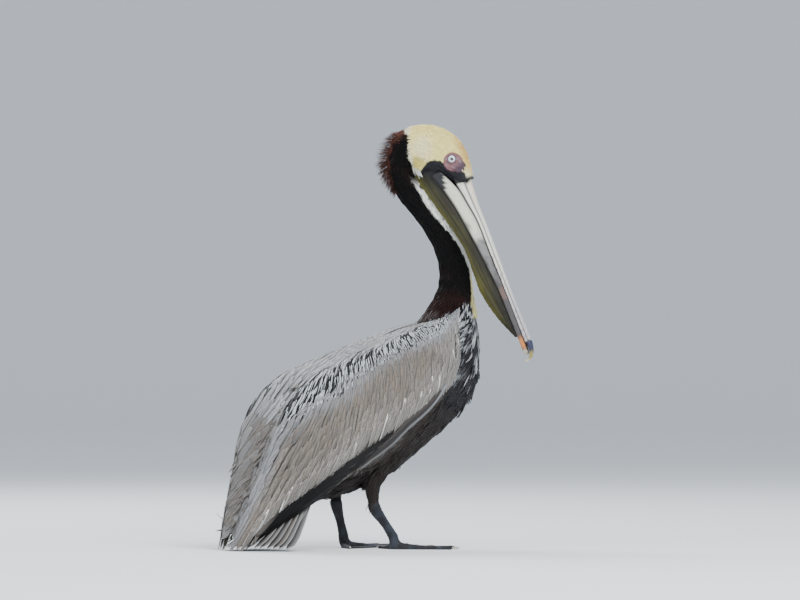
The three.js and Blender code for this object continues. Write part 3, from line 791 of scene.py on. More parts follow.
def thickness_at(mesh, points, normals):
    """How thick the flesh is inwards of each vertex, up to 40 mm."""
    mesh.calc_loop_triangles()
    corners = np.empty(len(mesh.loop_triangles) * 3, np.int32)
    mesh.loop_triangles.foreach_get("vertices", corners)
    tree = BVHTree.FromPolygons(points.tolist(), corners.reshape(-1, 3).tolist())
    starts, ways = (points - normals * 0.1).tolist(), (-normals).tolist()
    hits = [tree.ray_cast(start, way, 40) for start, way in zip(starts, ways)]
    return np.array([40 if hit[3] is None else hit[3] for hit in hits])


def lay_under_coat(body):
    """Takes the skin in from the flesh parts' surface by the coat's depth."""
    mesh = body.data
    spread = Spread(mesh)
    points = spread.fair(places(mesh), 8)
    move(mesh, points)
    normals = normals_of(mesh)
    part = parts_near(points)
    depths = np.array([COAT_DEPTH.get(name, COAT_DEPTH["bare"]) for name in PARTS])
    depth = depths[part] * feathered(points, part)
    inner = part_is(part, "wing") * smoothstep(-normals[:, 1] * np.sign(points[:, 1]), 0.1, 0.5)
    inner[inner > 0] *= smoothstep(wing_places(points[inner > 0])[2], 5, 9)
    depth = spread.calm(depth * (1 - 0.7 * inner), 5) + SWELL
    depth = np.minimum(depth, 0.3 * spread.calm(thickness_at(mesh, points, normals), 4))
    move(mesh, points - normals * depth[:, None])


def thin_out(body, keep):
    """Uses fewer, larger faces where feathers cover the skin."""
    mesh = body.data
    points = places(mesh)
    part = parts_near(points)
    group = body.vertex_groups.new(name="covered")
    covered = part_is(part, "trunk", "wing", "thigh") + 0.5 * part_is(part, "neck")
    for level in (0.5, 1.0):
        group.add(np.flatnonzero(covered == level).tolist(), level, "REPLACE")
    decimate = body.modifiers.new("Decimate", "DECIMATE")
    decimate.ratio = keep
    decimate.vertex_group = "covered"
    return settled(body, "Skin")


def refine(body, chosen, cuts):
    """Splits the faces whose middles are chosen into finer ones."""
    work = bmesh.new()
    work.from_mesh(body.data)
    middles = to_bird(np.array([face.calc_center_median() for face in work.faces]))
    picked = np.flatnonzero(chosen(middles))
    work.faces.ensure_lookup_table()
    edges = list({edge for i in picked for edge in work.faces[i].edges})
    bmesh.ops.subdivide_edges(work, edges=edges, cuts=cuts, use_grid_fill=True, smooth=0.0)
    bmesh.ops.triangulate(work, faces=[face for face in work.faces if len(face.verts) > 4])
    work.to_mesh(body.data)
    work.free()


def near_eyes(radius):
    def chosen(points):
        found = np.zeros(len(points), bool)
        for side in SIDES:
            apart, up, _, _ = eye_places(points, side)
            found |= (apart < radius) & (up > -4)
        return found

    return chosen


def sculpt(body):
    """Adds lids, the wrinkled ring round each eye, folds of gape and pouch, and the scutes of the legs."""
    mesh = body.data
    points = places(mesh)
    part = parts_near(points)
    spread = Spread(mesh)
    normals = normals_of(mesh)
    forward, _, height = head_places(points)
    bill = bill_places(points)
    # The gape: folds that follow the corner of the mouth, and the crease of the mouth itself.
    _, _, _, gape = face_masks(points)
    gape *= part_is(part, "head", "neck", "pouch")
    swept = np.hypot(forward - 30, (height - 612) * 0.9)
    lift = gape * (0.45 * np.sin(swept * 1.35 + 0.8 * ripple(points, 14, 41)) + 0.25 * ripple(points, 4, 42))
    line = between(forward, (14, 638), (25, 632.5), (41, 617.5), (61.5, 596), (75, 571))
    crease = np.exp(-(((height - line) / 1.3) ** 2)) * smoothstep(forward, 14, 24)
    crease *= 1 - smoothstep(forward, 66, 74)
    lift -= 1.5 * crease * part_is(part, "head", "pouch") * (gape > 0.2)
    # The pouch: fine pleats along it, with a few deeper folds.
    pouch = spread.calm(part_is(part, "pouch"), 3)
    pleats = np.sin((bill[:, 2] + 0.10 * bill[:, 0]) * 1.15 + 1.6 * ripple(points, 90, 43))
    lift += pouch * (0.22 * pleats + 0.5 * ripple(points, 70, 44))
    fold = bill[:, 2] - between(bill[:, 0], (-40, -78), (14, -64), (80, -50), (160, -45), (240, -32))
    lift -= pouch * 1.4 * np.exp(-((fold / 1.6) ** 2)) * smoothstep(np.abs(bill[:, 1]), 4, 8)
    # The legs: rows of scutes.
    legs = spread.calm(part_is(part, "shank", "foot"), 2)
    scutes = np.abs(np.sin(points[:, 2] * 0.62)) * part_is(part, "shank")
    toes = np.abs(np.sin((points[:, 0] * 0.9 + points[:, 1] * 0.35) * 0.5)) * part_is(part, "foot")
    lift += legs * (0.45 * scutes + 0.35 * toes - 0.3 + 0.22 * ripple(points, 5, 45))
    # Under the feathers the flesh is uneven.
    lift += 0.5 * part_is(part, "trunk", "thigh", "wing") * ripple(points, 34, 46)
    points = points + normals * lift[:, None]
    for side in SIDES:
        apart, up, _, axis = eye_places(points, side)
        radius, opening = EYE["radius"], EYE["opening"]
        close = (apart < 19) & (up > -4)
        ball = np.sqrt(np.maximum((radius - 1.1) ** 2 - apart**2, 0))
        lid = np.sqrt(np.maximum((radius + 1.3) ** 2 - apart**2, 0))
        wrinkles = 0.32 * np.sin(apart * 2.3 + 0.7 * ripple(points, 7, 47)) + 0.3 * ripple(points, 3.5, 48)
        around = mix(lid, up, smoothstep(apart, opening + 0.6, opening + 4.2))
        around += wrinkles * smoothstep(apart, opening + 1, opening + 3) * (1 - smoothstep(apart, 14.5, 18))
        target = mix(ball, around, smoothstep(apart, opening - 0.35, opening + 0.35))
        points[close] += ((target - up)[:, None] * axis)[close]
    points[:, 2] = np.maximum(points[:, 2], -ORIGIN[2] / MM)
    move(mesh, points)
    return part


def lid_rims():
    """The thick inner edges of the lids: a closed ring round each eye."""
    points, faces = [], []
    turns, rounds = 64, 10
    for k, side in enumerate(SIDES):
        middle, axis = eye_axis(side)
        above = np.array([0, 0, 1.0])
        across = np.cross(axis, above)
        turn = np.linspace(0, 2 * math.pi, turns, endpoint=False)
        out = np.cos(turn)[:, None] * across + np.sin(turn)[:, None] * above
        height = math.sqrt(EYE["radius"] ** 2 - EYE["opening"] ** 2)
        centre = middle + out * (EYE["opening"] + 0.35) + axis * (height + 0.55)
        spin = np.linspace(0, 2 * math.pi, rounds, endpoint=False)
        size = 0.62 + 0.1 * np.sin(turn * 9)
        tube = centre[:, None] + size[:, None, None] * (
            np.cos(spin)[None, :, None] * out[:, None] + np.sin(spin)[None, :, None] * axis
        )
        points.append(tube.reshape(-1, 3))
        a = np.arange(turns)[:, None] * rounds + np.arange(rounds)
        b = np.roll(a, -1, axis=0)
        ring = np.stack([a, np.roll(a, -1, 1), np.roll(b, -1, 1), b], -1).reshape(-1, 4)
        faces.append(ring + k * turns * rounds)
    return np.concatenate(points), np.concatenate(faces)


def unwrap(body):
    """Lays the skin's own shape out flat as the UV map OFBake."""
    mesh = body.data
    while mesh.uv_layers:
        mesh.uv_layers.remove(mesh.uv_layers[0])
    mesh.uv_layers.new(name="OFBake")
    bpy.context.view_layer.objects.active = body
    body.select_set(True)
    bpy.ops.object.mode_set(mode="EDIT")
    bpy.ops.mesh.select_all(action="SELECT")
    bpy.ops.uv.smart_project(angle_limit=math.radians(72), island_margin=0.001)
    bpy.ops.object.mode_set(mode="OBJECT")
    body.select_set(False)

# ---------------------------------------------------------------- feathers

LANCE = ([0, 0.12, 0.4, 0.7, 0.9, 1], [0.35, 0.7, 1, 0.82, 0.4, 0.06])
ROUND = ([0, 0.15, 0.5, 0.8, 0.92, 0.98, 1], [0.3, 0.62, 0.95, 1, 0.8, 0.45, 0.18])
QUILL = ([0, 0.1, 0.5, 0.8, 0.94, 1], [0.35, 0.7, 1, 0.85, 0.5, 0.08])


class SkinMap:
    """Reads the skin's unwrap at the place nearest to any point."""

    def __init__(self, body):
        mesh = body.data
        mesh.calc_loop_triangles()
        loops = np.empty(len(mesh.loop_triangles) * 3, np.int32)
        mesh.loop_triangles.foreach_get("loops", loops)
        self.corners = corner_vertices(mesh)[loops].reshape(-1, 3)
        flat = np.empty(len(mesh.loops) * 2, np.float32)
        mesh.uv_layers["OFBake"].data.foreach_get("uv", flat)
        self.flat = flat.reshape(-1, 2)[loops].reshape(-1, 3, 2)
        self.points = places(mesh)
        self.tree = BVHTree.FromPolygons(self.points.tolist(), self.corners.tolist())

    def read(self, points):
        found = [self.tree.find_nearest(point) for point in points.tolist()]
        place = np.array([hit[0] for hit in found])
        index = np.array([hit[2] for hit in found])
        a, b, c = np.moveaxis(self.points[self.corners[index]], 1, 0)
        whole = np.linalg.norm(np.cross(b - a, c - a), axis=1) + 1e-12
        first = np.linalg.norm(np.cross(b - place, c - place), axis=1) / whole
        second = np.linalg.norm(np.cross(c - place, a - place), axis=1) / whole
        shares = np.stack([first, second, 1 - first - second], -1)
        return (self.flat[index] * shares[..., None]).sum(1)


class Plumage:
    """Gathers feathers as thin closed plates and makes one mesh of them."""

    def __init__(self, seed):
        self.rng = np.random.default_rng(seed)
        self.blocks = []

    def add(self, paths, outward, half_width, shape, tone, rim, edge, thick=0.5, camber=0.14, facets=2):
        """Paths run from root to tip. The half width, colours and rim share are one for each feather."""
        count, marks = paths.shape[:2]
        t = np.linspace(0, 1, marks)
        way = unit(np.gradient(paths, axis=1))
        outward = unit(outward - way * dot(outward, way)[..., None])
        aside = np.cross(outward, way)
        half = np.broadcast_to(half_width, (count,))[:, None] * np.interp(t, *shape)
        steps = np.linspace(-1, 1, facets + 1)
        across = np.concatenate([steps, steps[-2:0:-1]])
        upper = np.concatenate([np.ones(facets + 1), -np.ones(facets - 1)])
        body = (1 - across**4) * upper
        lowest = 0.3 + 0.25 * (upper > 0) * (np.abs(across) < 1)
        body_thick = thick * np.interp(t, [0, 0.3, 1], [1, 0.9, 0.25])
        rise = camber * half[..., None] * (1 - across**2) + 0.5 * body_thick[:, None] * body
        ring = paths[:, :, None] + aside[:, :, None] * (half[..., None] * across)[..., None]
        ring = ring + outward[:, :, None] * rise[..., None]
        ring[..., 2] = np.maximum(ring[..., 2], lowest)
        sides = len(across)
        index = np.arange(count * marks * sides).reshape(count, marks, sides)
        turned = np.roll(index, -1, axis=2)
        quads = np.stack([index[:, :-1], index[:, 1:], turned[:, 1:], turned[:, :-1]], -1).reshape(-1, 4)
        caps = np.concatenate([index[:, 0], index[:, -1, ::-1]])
        chance = self.rng.uniform(size=count)
        vane = np.stack(np.broadcast_arrays(t[None, :, None], across, np.zeros(count)[:, None, None]), -1)

        def spread(values):
            values = np.asarray(values, float)
            values = np.broadcast_to(values, (count, values.shape[-1]))
            return np.repeat(values, marks * sides, axis=0)

        self.blocks.append({
            "points": ring.reshape(-1, 3),
            "quads": quads,
            "caps": caps,
            "roots": np.repeat(paths[:, 0], marks * sides, axis=0),
            "vane": vane.reshape(-1, 3),
            "chance": np.repeat(chance, marks * sides),
            "tone": spread(tone),
            "rim": spread(rim),
            "edge": spread(np.broadcast_to(edge, (count,))[:, None])[:, 0],
            "each": marks * sides,
        })

    def both(self, paths, outward, *rest, **more):
        """The same feathers on the right and, mirrored, on the left."""
        self.add(paths, outward, *rest, **more)
        flip = np.array([1, -1, 1])
        self.add(paths * flip, outward * flip, *rest, **more)

    def make(self, name, skin_map, material):
        start = 0
        faces, flat = [], []
        for block in self.blocks:
            faces += [block["quads"] + start, block["caps"] + start]
            start += len(block["points"])
            roots = skin_map.read(block["roots"][:: block["each"]])
            patch = block["vane"][:, :2] * [1, 0.5] + [0, 0.5]
            flat.append(np.repeat(roots, block["each"], axis=0) + (patch - 0.5) * PATCH)
        gather = {key: np.concatenate([block[key] for block in self.blocks]) for key in
                  ("points", "vane", "chance", "tone", "rim", "edge")}
        coat = make_mesh(name, gather["points"], faces)
        mesh = coat.data
        put(mesh, "vane", "FLOAT_VECTOR", gather["vane"])
        put(mesh, "chance", "FLOAT", gather["chance"])
        put_colour(mesh, "tone", gather["tone"], gather["edge"])
        put_colour(mesh, "rim", gather["rim"], 1)
        layer = mesh.uv_layers.new(name="OFBake")
        layer.data.foreach_set("uv", np.concatenate(flat)[corner_vertices(mesh)].astype(np.float32).ravel())
        mesh.materials.append(material)
        return coat


def shades(rng, count, *names, spread=0.12):
    """A colour for each feather, anywhere between the named ones, and a little lighter or darker."""
    colours = np.array([COLOURS[name] for name in names])
    place = rng.uniform(0, len(names) - 1, count) if len(names) > 1 else np.zeros(count)
    low = np.minimum(place.astype(int), max(len(names) - 2, 0))
    high = np.minimum(low + 1, len(names) - 1)
    mixed = mix(colours[low], colours[high], (place - low)[:, None])
    return mixed * rng.uniform(1 - spread, 1 + spread, count)[:, None]


def wing_lie(slant_at):
    """Which way feathers point on the wing: back along the spine near it, and by the slant further down."""
    axis = unit(SPINE_WAY)

    def lie(station, share, along, across):
        slant = np.radians(slant_at(station, share))
        down = np.stack([-np.sin(slant), np.zeros_like(slant), -np.cos(slant)], -1)
        return mix(np.broadcast_to(axis, down.shape), down, smoothstep(share, 0.1, 0.3)[:, None])

    return lie


def covert_slant(station, share):
    upper = between(station, (0, -26), (1, -22), (5, 5), (7.5, 35), (12, 44))
    lower = between(station, (1, 2), (5, 10), (8, 18), (12, 26))
    return mix(upper, lower, smoothstep(share, 0.35, 0.62))


def covert_tips(station):
    """Share of the way down the wing that the great coverts reach."""
    return between(
        station,
        (0, 1.0), (2.4, 1.0), (3.4, 0.96), (3.9, 0.88), (4.7, 0.9), (5.2, 0.86), (5.9, 0.82),
        (6.75, 0.81), (7.1, 0.82), (8.2, 0.84), (8.9, 0.79), (10.2, 0.68), (10.6, 0.65),
        (11.1, 0.62), (12, 0.6)
    )


def wing_foot(station):
    """Share of the way down the wing of the flight feathers' edge."""
    return between(
        station,
        (0, 1.0), (2.4, 1.0), (3.5, 0.96), (5.2, 0.9), (6, 0.91), (7.1, 0.94), (8.1, 0.92),
        (9.2, 0.91), (10.2, 0.86), (11, 0.86), (12, 0.84), (12.6, 0.8)
    )


def band_top(station):
    return between(
        station,
        (-0.8, 0.0), (0.2, 0.06), (1.2, 0.17), (2, 0.23), (3.2, 0.24), (4.2, 0.24), (5.2, 0.24),
        (6.2, 0.2), (7.1, 0.19), (7.8, 0.26), (8.6, 0.33)
    )


def band_foot(station):
    return between(
        station,
        (-0.8, 0.8), (0.5, 0.76), (1.4, 0.7), (2, 0.56), (3.2, 0.45), (4.4, 0.4), (5.3, 0.42),
        (6.2, 0.44), (6.7, 0.44), (7.2, 0.42), (8, 0.4), (8.6, 0.33)
    )


def field_back(station):
    """Share down to which the broad rear feathers cover the coverts."""
    return between(
        station, (6.6, 0), (7.0, 0.2), (7.6, 0.27), (9.1, 0.28), (9.6, 0.26), (10.4, 0.2), (12, 0.12)
    )


def roots_in_rows(rng, stations, shares, pitch, step):
    """Roots in staggered rows over a stretch of the wing, at one pitch over its surface."""
    found = []
    for row, share in enumerate(np.arange(shares[1], shares[0], -step)):
        fine = np.linspace(*stations, 240)
        place = WING.read(fine, np.full_like(fine, share))[0]
        run = np.concatenate([[0], np.cumsum(np.linalg.norm(np.diff(place, axis=0), axis=1))])
        marks = np.arange(pitch * (row % 2) / 2, run[-1], pitch)
        marks = marks + rng.normal(0, 0.16 * pitch, len(marks))
        at = np.interp(marks, run, fine)
        found.append(np.column_stack([at, share + rng.normal(0, 0.16 * step, len(at))]))
    return np.concatenate(found).T


def lay(plumage, paths, depth, *looks, **more):
    """Lays feathers on both wings along paths of station and share, with root and tip at two depths."""
    place, _, _, outward = WING.read(*paths)
    t = np.linspace(0, 1, paths[0].shape[1])
    first, last = (np.broadcast_to(end, len(place))[:, None] for end in depth)
    jitter = plumage.rng.normal(0, 0.18, len(place))[:, None]
    under = mix(first, last, t**0.8) + jitter * t
    plumage.both(place - outward * under[..., None], outward, *looks, **more)


def pick(paths, kept):
    return paths[0][kept], paths[1][kept]


def great_coverts(plumage):
    """Long soft feathers over the lower two thirds of the wing, pale at their tips."""
    rng = plumage.rng
    lie = wing_lie(covert_slant)
    stations, shares = roots_in_rows(rng, (-0.9, 11.6), (0.05, 1.0), 3.7, 0.052)
    paths = WING.walk(stations, shares, lie, 48 * rng.uniform(0.85, 1.15, len(stations)), 6)
    fringe = np.linspace(1.2, 11.6, 96) + rng.normal(0, 0.02, 96)
    length = 40 * rng.uniform(0.9, 1.12, len(fringe))
    shares = covert_tips(fringe) - length / WING.length(fringe)
    for _ in range(4):
        edge = WING.walk(fringe, shares, lie, length, 6)
        shares = shares + 0.8 * (covert_tips(edge[0][:, -1]) - edge[1][:, -1])
    last = np.concatenate([np.zeros(len(stations)), np.ones(len(fringe))])
    paths = tuple(np.concatenate(pair) for pair in zip(paths, edge))
    middle = paths[0][:, 3], paths[1][:, 3]
    kept = paths[1][:, -1] < covert_tips(paths[0][:, -1]) + 0.012
    kept &= middle[1] > band_foot(middle[0]) - 0.02
    kept &= middle[1] > field_back(middle[0]) - 0.02
    paths, last = pick(paths, kept), last[kept]
    station, share = paths[0][:, 3], paths[1][:, 3]
    count = len(station)
    tone = shades(rng, count, "covert", "covert_warm", spread=0.1)
    tone = paint(tone, "blue_grey", 0.75 * (1 - smoothstep(station + 3 * (share - 0.5), 0.8, 3.6)))
    tone = paint(tone, "blue_grey", 0.4 * (1 - smoothstep(share - band_foot(station), 0.0, 0.12)))
    tone = paint(tone, "covert_pale", 0.45 * smoothstep(share, 0.66, 0.9))
    streak = (rng.uniform(size=count) < 0.1) * rng.uniform(0.2, 0.6, count)
    tone = paint(tone, "under", streak)
    tip = np.clip(smoothstep(paths[1][:, -1] - covert_tips(paths[0][:, -1]), -0.14, 0), 0, 1)
    rim = paint(tone * 1.25, "covert_edge", 0.45 + 0.5 * tip)
    tip_depth = mix(0.7, -0.9, smoothstep(paths[1][:, -1], 0.78, 0.97))
    lay(plumage, paths, (3.3, tip_depth), 2.6 * rng.uniform(0.85, 1.2, count), LANCE, tone, rim,
        0.2 + 0.1 * tip + rng.uniform(-0.05, 0.05, count))


def streaky_feathers(plumage, stations, shares, wanted, pitch=2.3, length=25, half=1.5):
    """Small feathers, some black with a silver edge and some silver."""
    rng = plumage.rng
    roots = roots_in_rows(rng, stations, shares, pitch, 0.045)
    dark = (np.arange(roots.shape[1]) % 2 == 0) ^ (rng.uniform(size=roots.shape[1]) < 0.06)
    paths = WING.walk(*roots, wing_lie(covert_slant), length * rng.uniform(0.9, 1.1, roots.shape[1]), 5)
    kept = wanted(paths[0][:, 3], paths[1][:, 3])
    paths, dark = pick(paths, kept), dark[kept]
    count = len(dark)
    black, silver = shades(rng, count, "black", spread=0.1), shades(rng, count, "silver", spread=0.06)
    tone = np.where(dark[:, None], black, silver)
    rim = shades(rng, count, "silver", spread=0.06)
    width = half * rng.uniform(0.9, 1.1, count)
    lay(plumage, paths, (3.2, np.where(dark, 0.4, 0.0)), width, LANCE, tone, rim, np.where(dark, 0.12, 0.28),
        camber=0.3)


def lesser_coverts(plumage):
    """The band of streaky feathers along the top of the wing."""
    streaky_feathers(plumage, (-0.9, 8.8), (-0.1, 0.8),
                     lambda station, share: (share > band_top(station)) & (share < band_foot(station) + 0.01))


def back_feathers(plumage):
    """The pale feathers over the shoulders, between the band and the spine."""
    rng = plumage.rng
    roots = roots_in_rows(rng, (-0.7, 8.2), (-0.16, 0.42), 5.6, 0.04)
    paths = WING.walk(*roots, wing_lie(covert_slant), 40 * rng.uniform(0.85, 1.15, roots.shape[1]), 6)
    station, share = paths[0][:, 3], paths[1][:, 3]
    paths = pick(paths, (share < band_top(station) + 0.012) & (station < 7.8))
    station, share = paths[0][:, 3], paths[1][:, 3]
    count = len(station)
    tone = shades(rng, count, "mantle", "mantle_pale", spread=0.05)
    streak = (rng.uniform(size=count) < 0.14) * rng.uniform(0.2, 0.6, count) * smoothstep(station, 1, 4)
    tone = paint(tone, "blue_dark", streak)
    lay(plumage, paths, (3.4, 0.3), 4.0 * rng.uniform(0.85, 1.15, count), LANCE, tone, tone * 1.2,
        rng.uniform(0.12, 0.25, count))


def tertials(plumage):
    """Broad rounded feathers over the back of the folded wing."""
    rng = plumage.rng
    axis = unit(SPINE_WAY)

    def lie(station, share, along, across):
        return np.broadcast_to(axis, along.shape) + unit(across) * 0.12

    rows = np.arange(11.2, 5.3, -0.45)
    for row, start in enumerate(rows):
        columns = np.arange(-0.15, 0.26, 0.085) + 0.042 * (row % 2)
        station = start + rng.normal(0, 0.05, len(columns)) - 0.5 * (columns < 0.0)
        length = between(station, (4, 56), (6, 66), (8, 76), (10, 66), (11, 50))
        length = length * rng.uniform(0.94, 1.06, len(columns))
        paths = WING.walk(station, columns, lie, length, 10)
        middle = paths[0][:, 6], paths[1][:, 6]
        kept = (middle[1] < field_back(middle[0]) + 0.04) & (middle[0] > 6.9)
        paths = pick(paths, kept)
        count = len(paths[0])
        if not count:
            continue
        tone = 0.72 * shades(rng, count, "tertial", "mantle", "tertial", spread=0.1)
        tone = paint(tone, "under", (rng.uniform(size=count) < 0.3) * 0.35)
        rim = shades(rng, count, "covert_edge", spread=0.04)
        rise = 1.8 + 0.15 * row
        lay(plumage, paths, (1.2, -rise), 8.8 * rng.uniform(0.92, 1.08, count), ROUND, tone, rim,
            rng.uniform(0.14, 0.18, count), facets=4, thick=0.6, camber=0.12)


def along_foot(plumage, start, end, room, depth, half_width, shape, tone, rim, edge, **more):
    """One long feather on each wing, `room` above its lower edge at root and tip."""
    t = np.linspace(0, 1, 15)
    stations = mix(start, end, t)[None]
    shares = wing_foot(stations) - mix(room[0], room[1], t) / WING.length(stations)
    paths = stations, shares
    lay(plumage, paths, depth, np.array([half_width]), shape, tone, rim, np.array([edge]), **more)


def flight_feathers(plumage):
    """The secondaries under the great coverts' tips, and the long black primaries behind them."""
    rng = plumage.rng
    # The dark feathers laid deep under the coverts' tips, one below each secondary, are partly the dark
    # primary coverts there and partly painted shade in that gap.
    dark = np.array([COLOURS["under"]])
    for k in range(5):
        tone = shades(rng, 1, "covert_pale", "blue_grey", spread=0.06)
        start = 3.2 + 0.62 * k
        along_foot(plumage, start + 0.3, start + 2.6, (18, 12), (2.6, 1.5), 6.0, ROUND, dark * 0.5, dark, 0.1,
                   thick=0.5)
        along_foot(plumage, start, start + 2.4, (14, 4), (1.6, -1.4 - 0.15 * k), 6.4, ROUND, tone * 0.72,
                   tone * 1.05, 0.12, facets=4, thick=0.6)
    for k in range(8):
        tone = shades(rng, 1, "flight", "black", spread=0.1)
        start, end = 5.7 + 0.36 * k, 10.5 + 0.27 * k
        room = (24 - 2.3 * k, mix(26, 5, k / 7))
        depth = (2.4, 0.5 - 0.1 * k)
        along_foot(plumage, start, end, room, depth, 7.8, QUILL, tone, tone * 1.6, 0.1, facets=4, thick=0.8)
    along_foot(plumage, 7.7, 10.6, (5, 7), (0.4, -1.2), 0.8, QUILL, np.array([COLOURS["covert_edge"]]),
               np.array([COLOURS["white"]]), 0.1, camber=0.6)


def tail_feathers(plumage):
    """The fan of the tail, with coverts over and under its root."""
    rng = plumage.rng
    t = np.linspace(0, 1, 13)
    layers = [(24, 1.0, 0.0, 12.0, ROUND), (17, 0.55, 3.2, 9.0, LANCE), (15, 0.36, 5.0, 8.0, LANCE),
              (15, 0.55, -3.2, 9.0, LANCE)]
    for count, reach, lift, half, shape in layers:
        shares = np.linspace(-1, 1, count)
        for share in shares[np.argsort(-np.abs(shares))]:
            outer = abs(share) ** 1.7
            length = mix(TAIL["length"], TAIL_SIDE["length"], outer) * reach * rng.uniform(0.93, 1.0)
            along = np.clip(t * reach, 0, 1)
            laid = mix(along, smoothstep(along, 0, 0.94), 0.45)
            lateral = share * mix(TAIL["half_root"], TAIL["half_tip"], along**1.1) * 0.97
            height = mix(TAIL["z"] - TAIL_SIDE["lower"] * outer, 4.0, laid) + lift * (1 - 0.6 * t)
            height = height + 1.8 * (1 - abs(share)) * t * (1 if lift >= 0 else -1)
            x = TAIL["x"] + TAIL_SIDE["forward"] * outer + 8 - (length + 8) * t
            path = np.stack([x, lateral, np.maximum(height, 2.4)], -1)[None]
            outward = np.broadcast_to([-0.5, 0.0, 0.86], path.shape) * (1 if lift >= 0 else -1)
            tone = 0.56 * shades(rng, 1, "tertial", "mantle", "covert_warm", spread=0.1)
            rim = 0.8 * shades(rng, 1, "covert_edge", spread=0.05)
            plumage.add(path, outward, np.array([half]), shape, tone, rim, np.array([0.17]), thick=0.7,
                        facets=4, camber=0.1)


def crest_feathers(plumage):
    """The short spiky crest down the nape."""
    rng = plumage.rng
    count = 900
    station = rng.uniform(7.2, 11.1, count)
    angle = rng.normal(0, 0.42, count)
    index = np.clip(np.searchsorted(NECK.stations, station), 0, len(NECK.stations) - 1)
    up, left, along = NECK.up[index], NECK.left[index], NECK.along[index]
    side = np.cos(angle)[:, None] * up + np.sin(angle)[:, None] * left
    root = NECK.centres[index] + side * (NECK.reach[index] * 0.86)[:, None]
    lean = between(station, (7.2, 1.5), (8.6, 0.9), (9.8, 0.45), (11, 0.6))[:, None]
    way = unit(side - along * lean + rng.normal(0, 0.1, (count, 3)))
    level = unit(way * [1, 1, 0.3])
    way = mix(way, level, between(station, (8, 0.1), (10, 0.75), (11, 0.5))[:, None])
    length = rng.uniform(14, 27, count)
    length *= between(station, (7.2, 0.5), (8.2, 0.75), (9.3, 1.0), (10.4, 0.95), (11.1, 0.6))
    length *= 1 - 0.45 * np.clip(np.abs(angle) / 0.9, 0, 1)
    reach = length[:, None, None]
    t = np.linspace(0, 1, 6)[None, :, None]
    path = root[:, None] + way[:, None] * t * reach - np.array([0, 0, 0.12]) * t * t * reach
    tone = 1.35 * shades(rng, count, "chestnut", spread=0.25)
    rim = np.tile(COLOURS["crest_tip"], (count, 1))
    outward = np.broadcast_to(np.cross(left, way)[:, None], path.shape)
    half, edge = rng.uniform(1.0, 1.7, count), rng.uniform(0.18, 0.42, count)
    plumage.add(path, outward, half, LANCE, tone, rim, edge, thick=0.6)


# ---------------------------------------------------------------- short feathers by Geometry Nodes


def feather_pattern():
    """One short feather of unit length and width, closed, lying along +X, for the node tree to repeat."""
    t = np.array([-0.06, 0.16, 0.45, 0.75, 1.0])
    half = 0.5 * np.array([0.5, 0.85, 1.0, 0.72, 0.1])
    bow = np.array([-0.5, 0.55, 1.0, 0.85, 0.15])
    across = np.array([-1.0, 0.0, 1.0])
    ridge = np.array([0.0, 1.0, 0.0])
    points = np.stack([
        np.repeat(t, 3),
        (half[:, None] * across).ravel(),
        (bow[:, None] + ridge).ravel(),
    ], -1)
    points = np.concatenate([points, np.stack([t, 0 * t, bow - 0.25], -1)])
    top = np.arange(15).reshape(5, 3)
    foot = 15 + np.arange(5)
    ring = np.column_stack([top, foot])
    turned = np.roll(ring, -1, axis=1)
    quads = np.stack([ring[:-1], ring[1:], turned[1:], turned[:-1]], -1).reshape(-1, 4)
    caps = np.array([ring[0], ring[-1][::-1]])
    pattern = make_mesh("Feather Pattern", to_bird(points), [quads, caps])
    along = np.concatenate([np.repeat(t, 3), t])
    aside = np.concatenate([np.tile(across, 5), np.zeros(5)])
    put(pattern.data, "vane", "FLOAT_VECTOR", np.column_stack([np.clip(along, 0, 1), aside, 0 * along]))
    pattern.hide_render = True
    return pattern


class Tree:
    """Short calls for adding and linking nodes in one tree."""

    def __init__(self, tree):
        self.tree = tree

    def add(self, kind, inputs=None, **settings):
        node = self.tree.nodes.new(kind)
        for key, value in settings.items():
            setattr(node, key, value)
        for key, value in (inputs or {}).items():
            self.feed(node.inputs[key], value)
        return node

    def feed(self, socket, value):
        if isinstance(value, bpy.types.NodeSocket):
            self.tree.links.new(value, socket)
        else:
            socket.default_value = value

    def math(self, operation, *values, clamp=False):
        node = self.tree.nodes.new("ShaderNodeMath")
        node.operation = operation
        node.use_clamp = clamp
        for socket, value in zip(node.inputs, values):
            self.feed(socket, value)
        return node.outputs[0]

    def mix_colour(self, factor, first, second, blend="MIX"):
        node = self.add("ShaderNodeMix", data_type="RGBA", blend_type=blend)
        self.feed(node.inputs[0], factor)
        self.feed(node.inputs[6], first)
        self.feed(node.inputs[7], second)
        return node.outputs[2]

    def stretch(self, value, low, high, to_low=0.0, to_high=1.0):
        node = self.add("ShaderNodeMapRange", interpolation_type="SMOOTHSTEP")
        for socket, number in zip(node.inputs, (value, low, high, to_low, to_high)):
            self.feed(socket, number)
        return node.outputs[0]


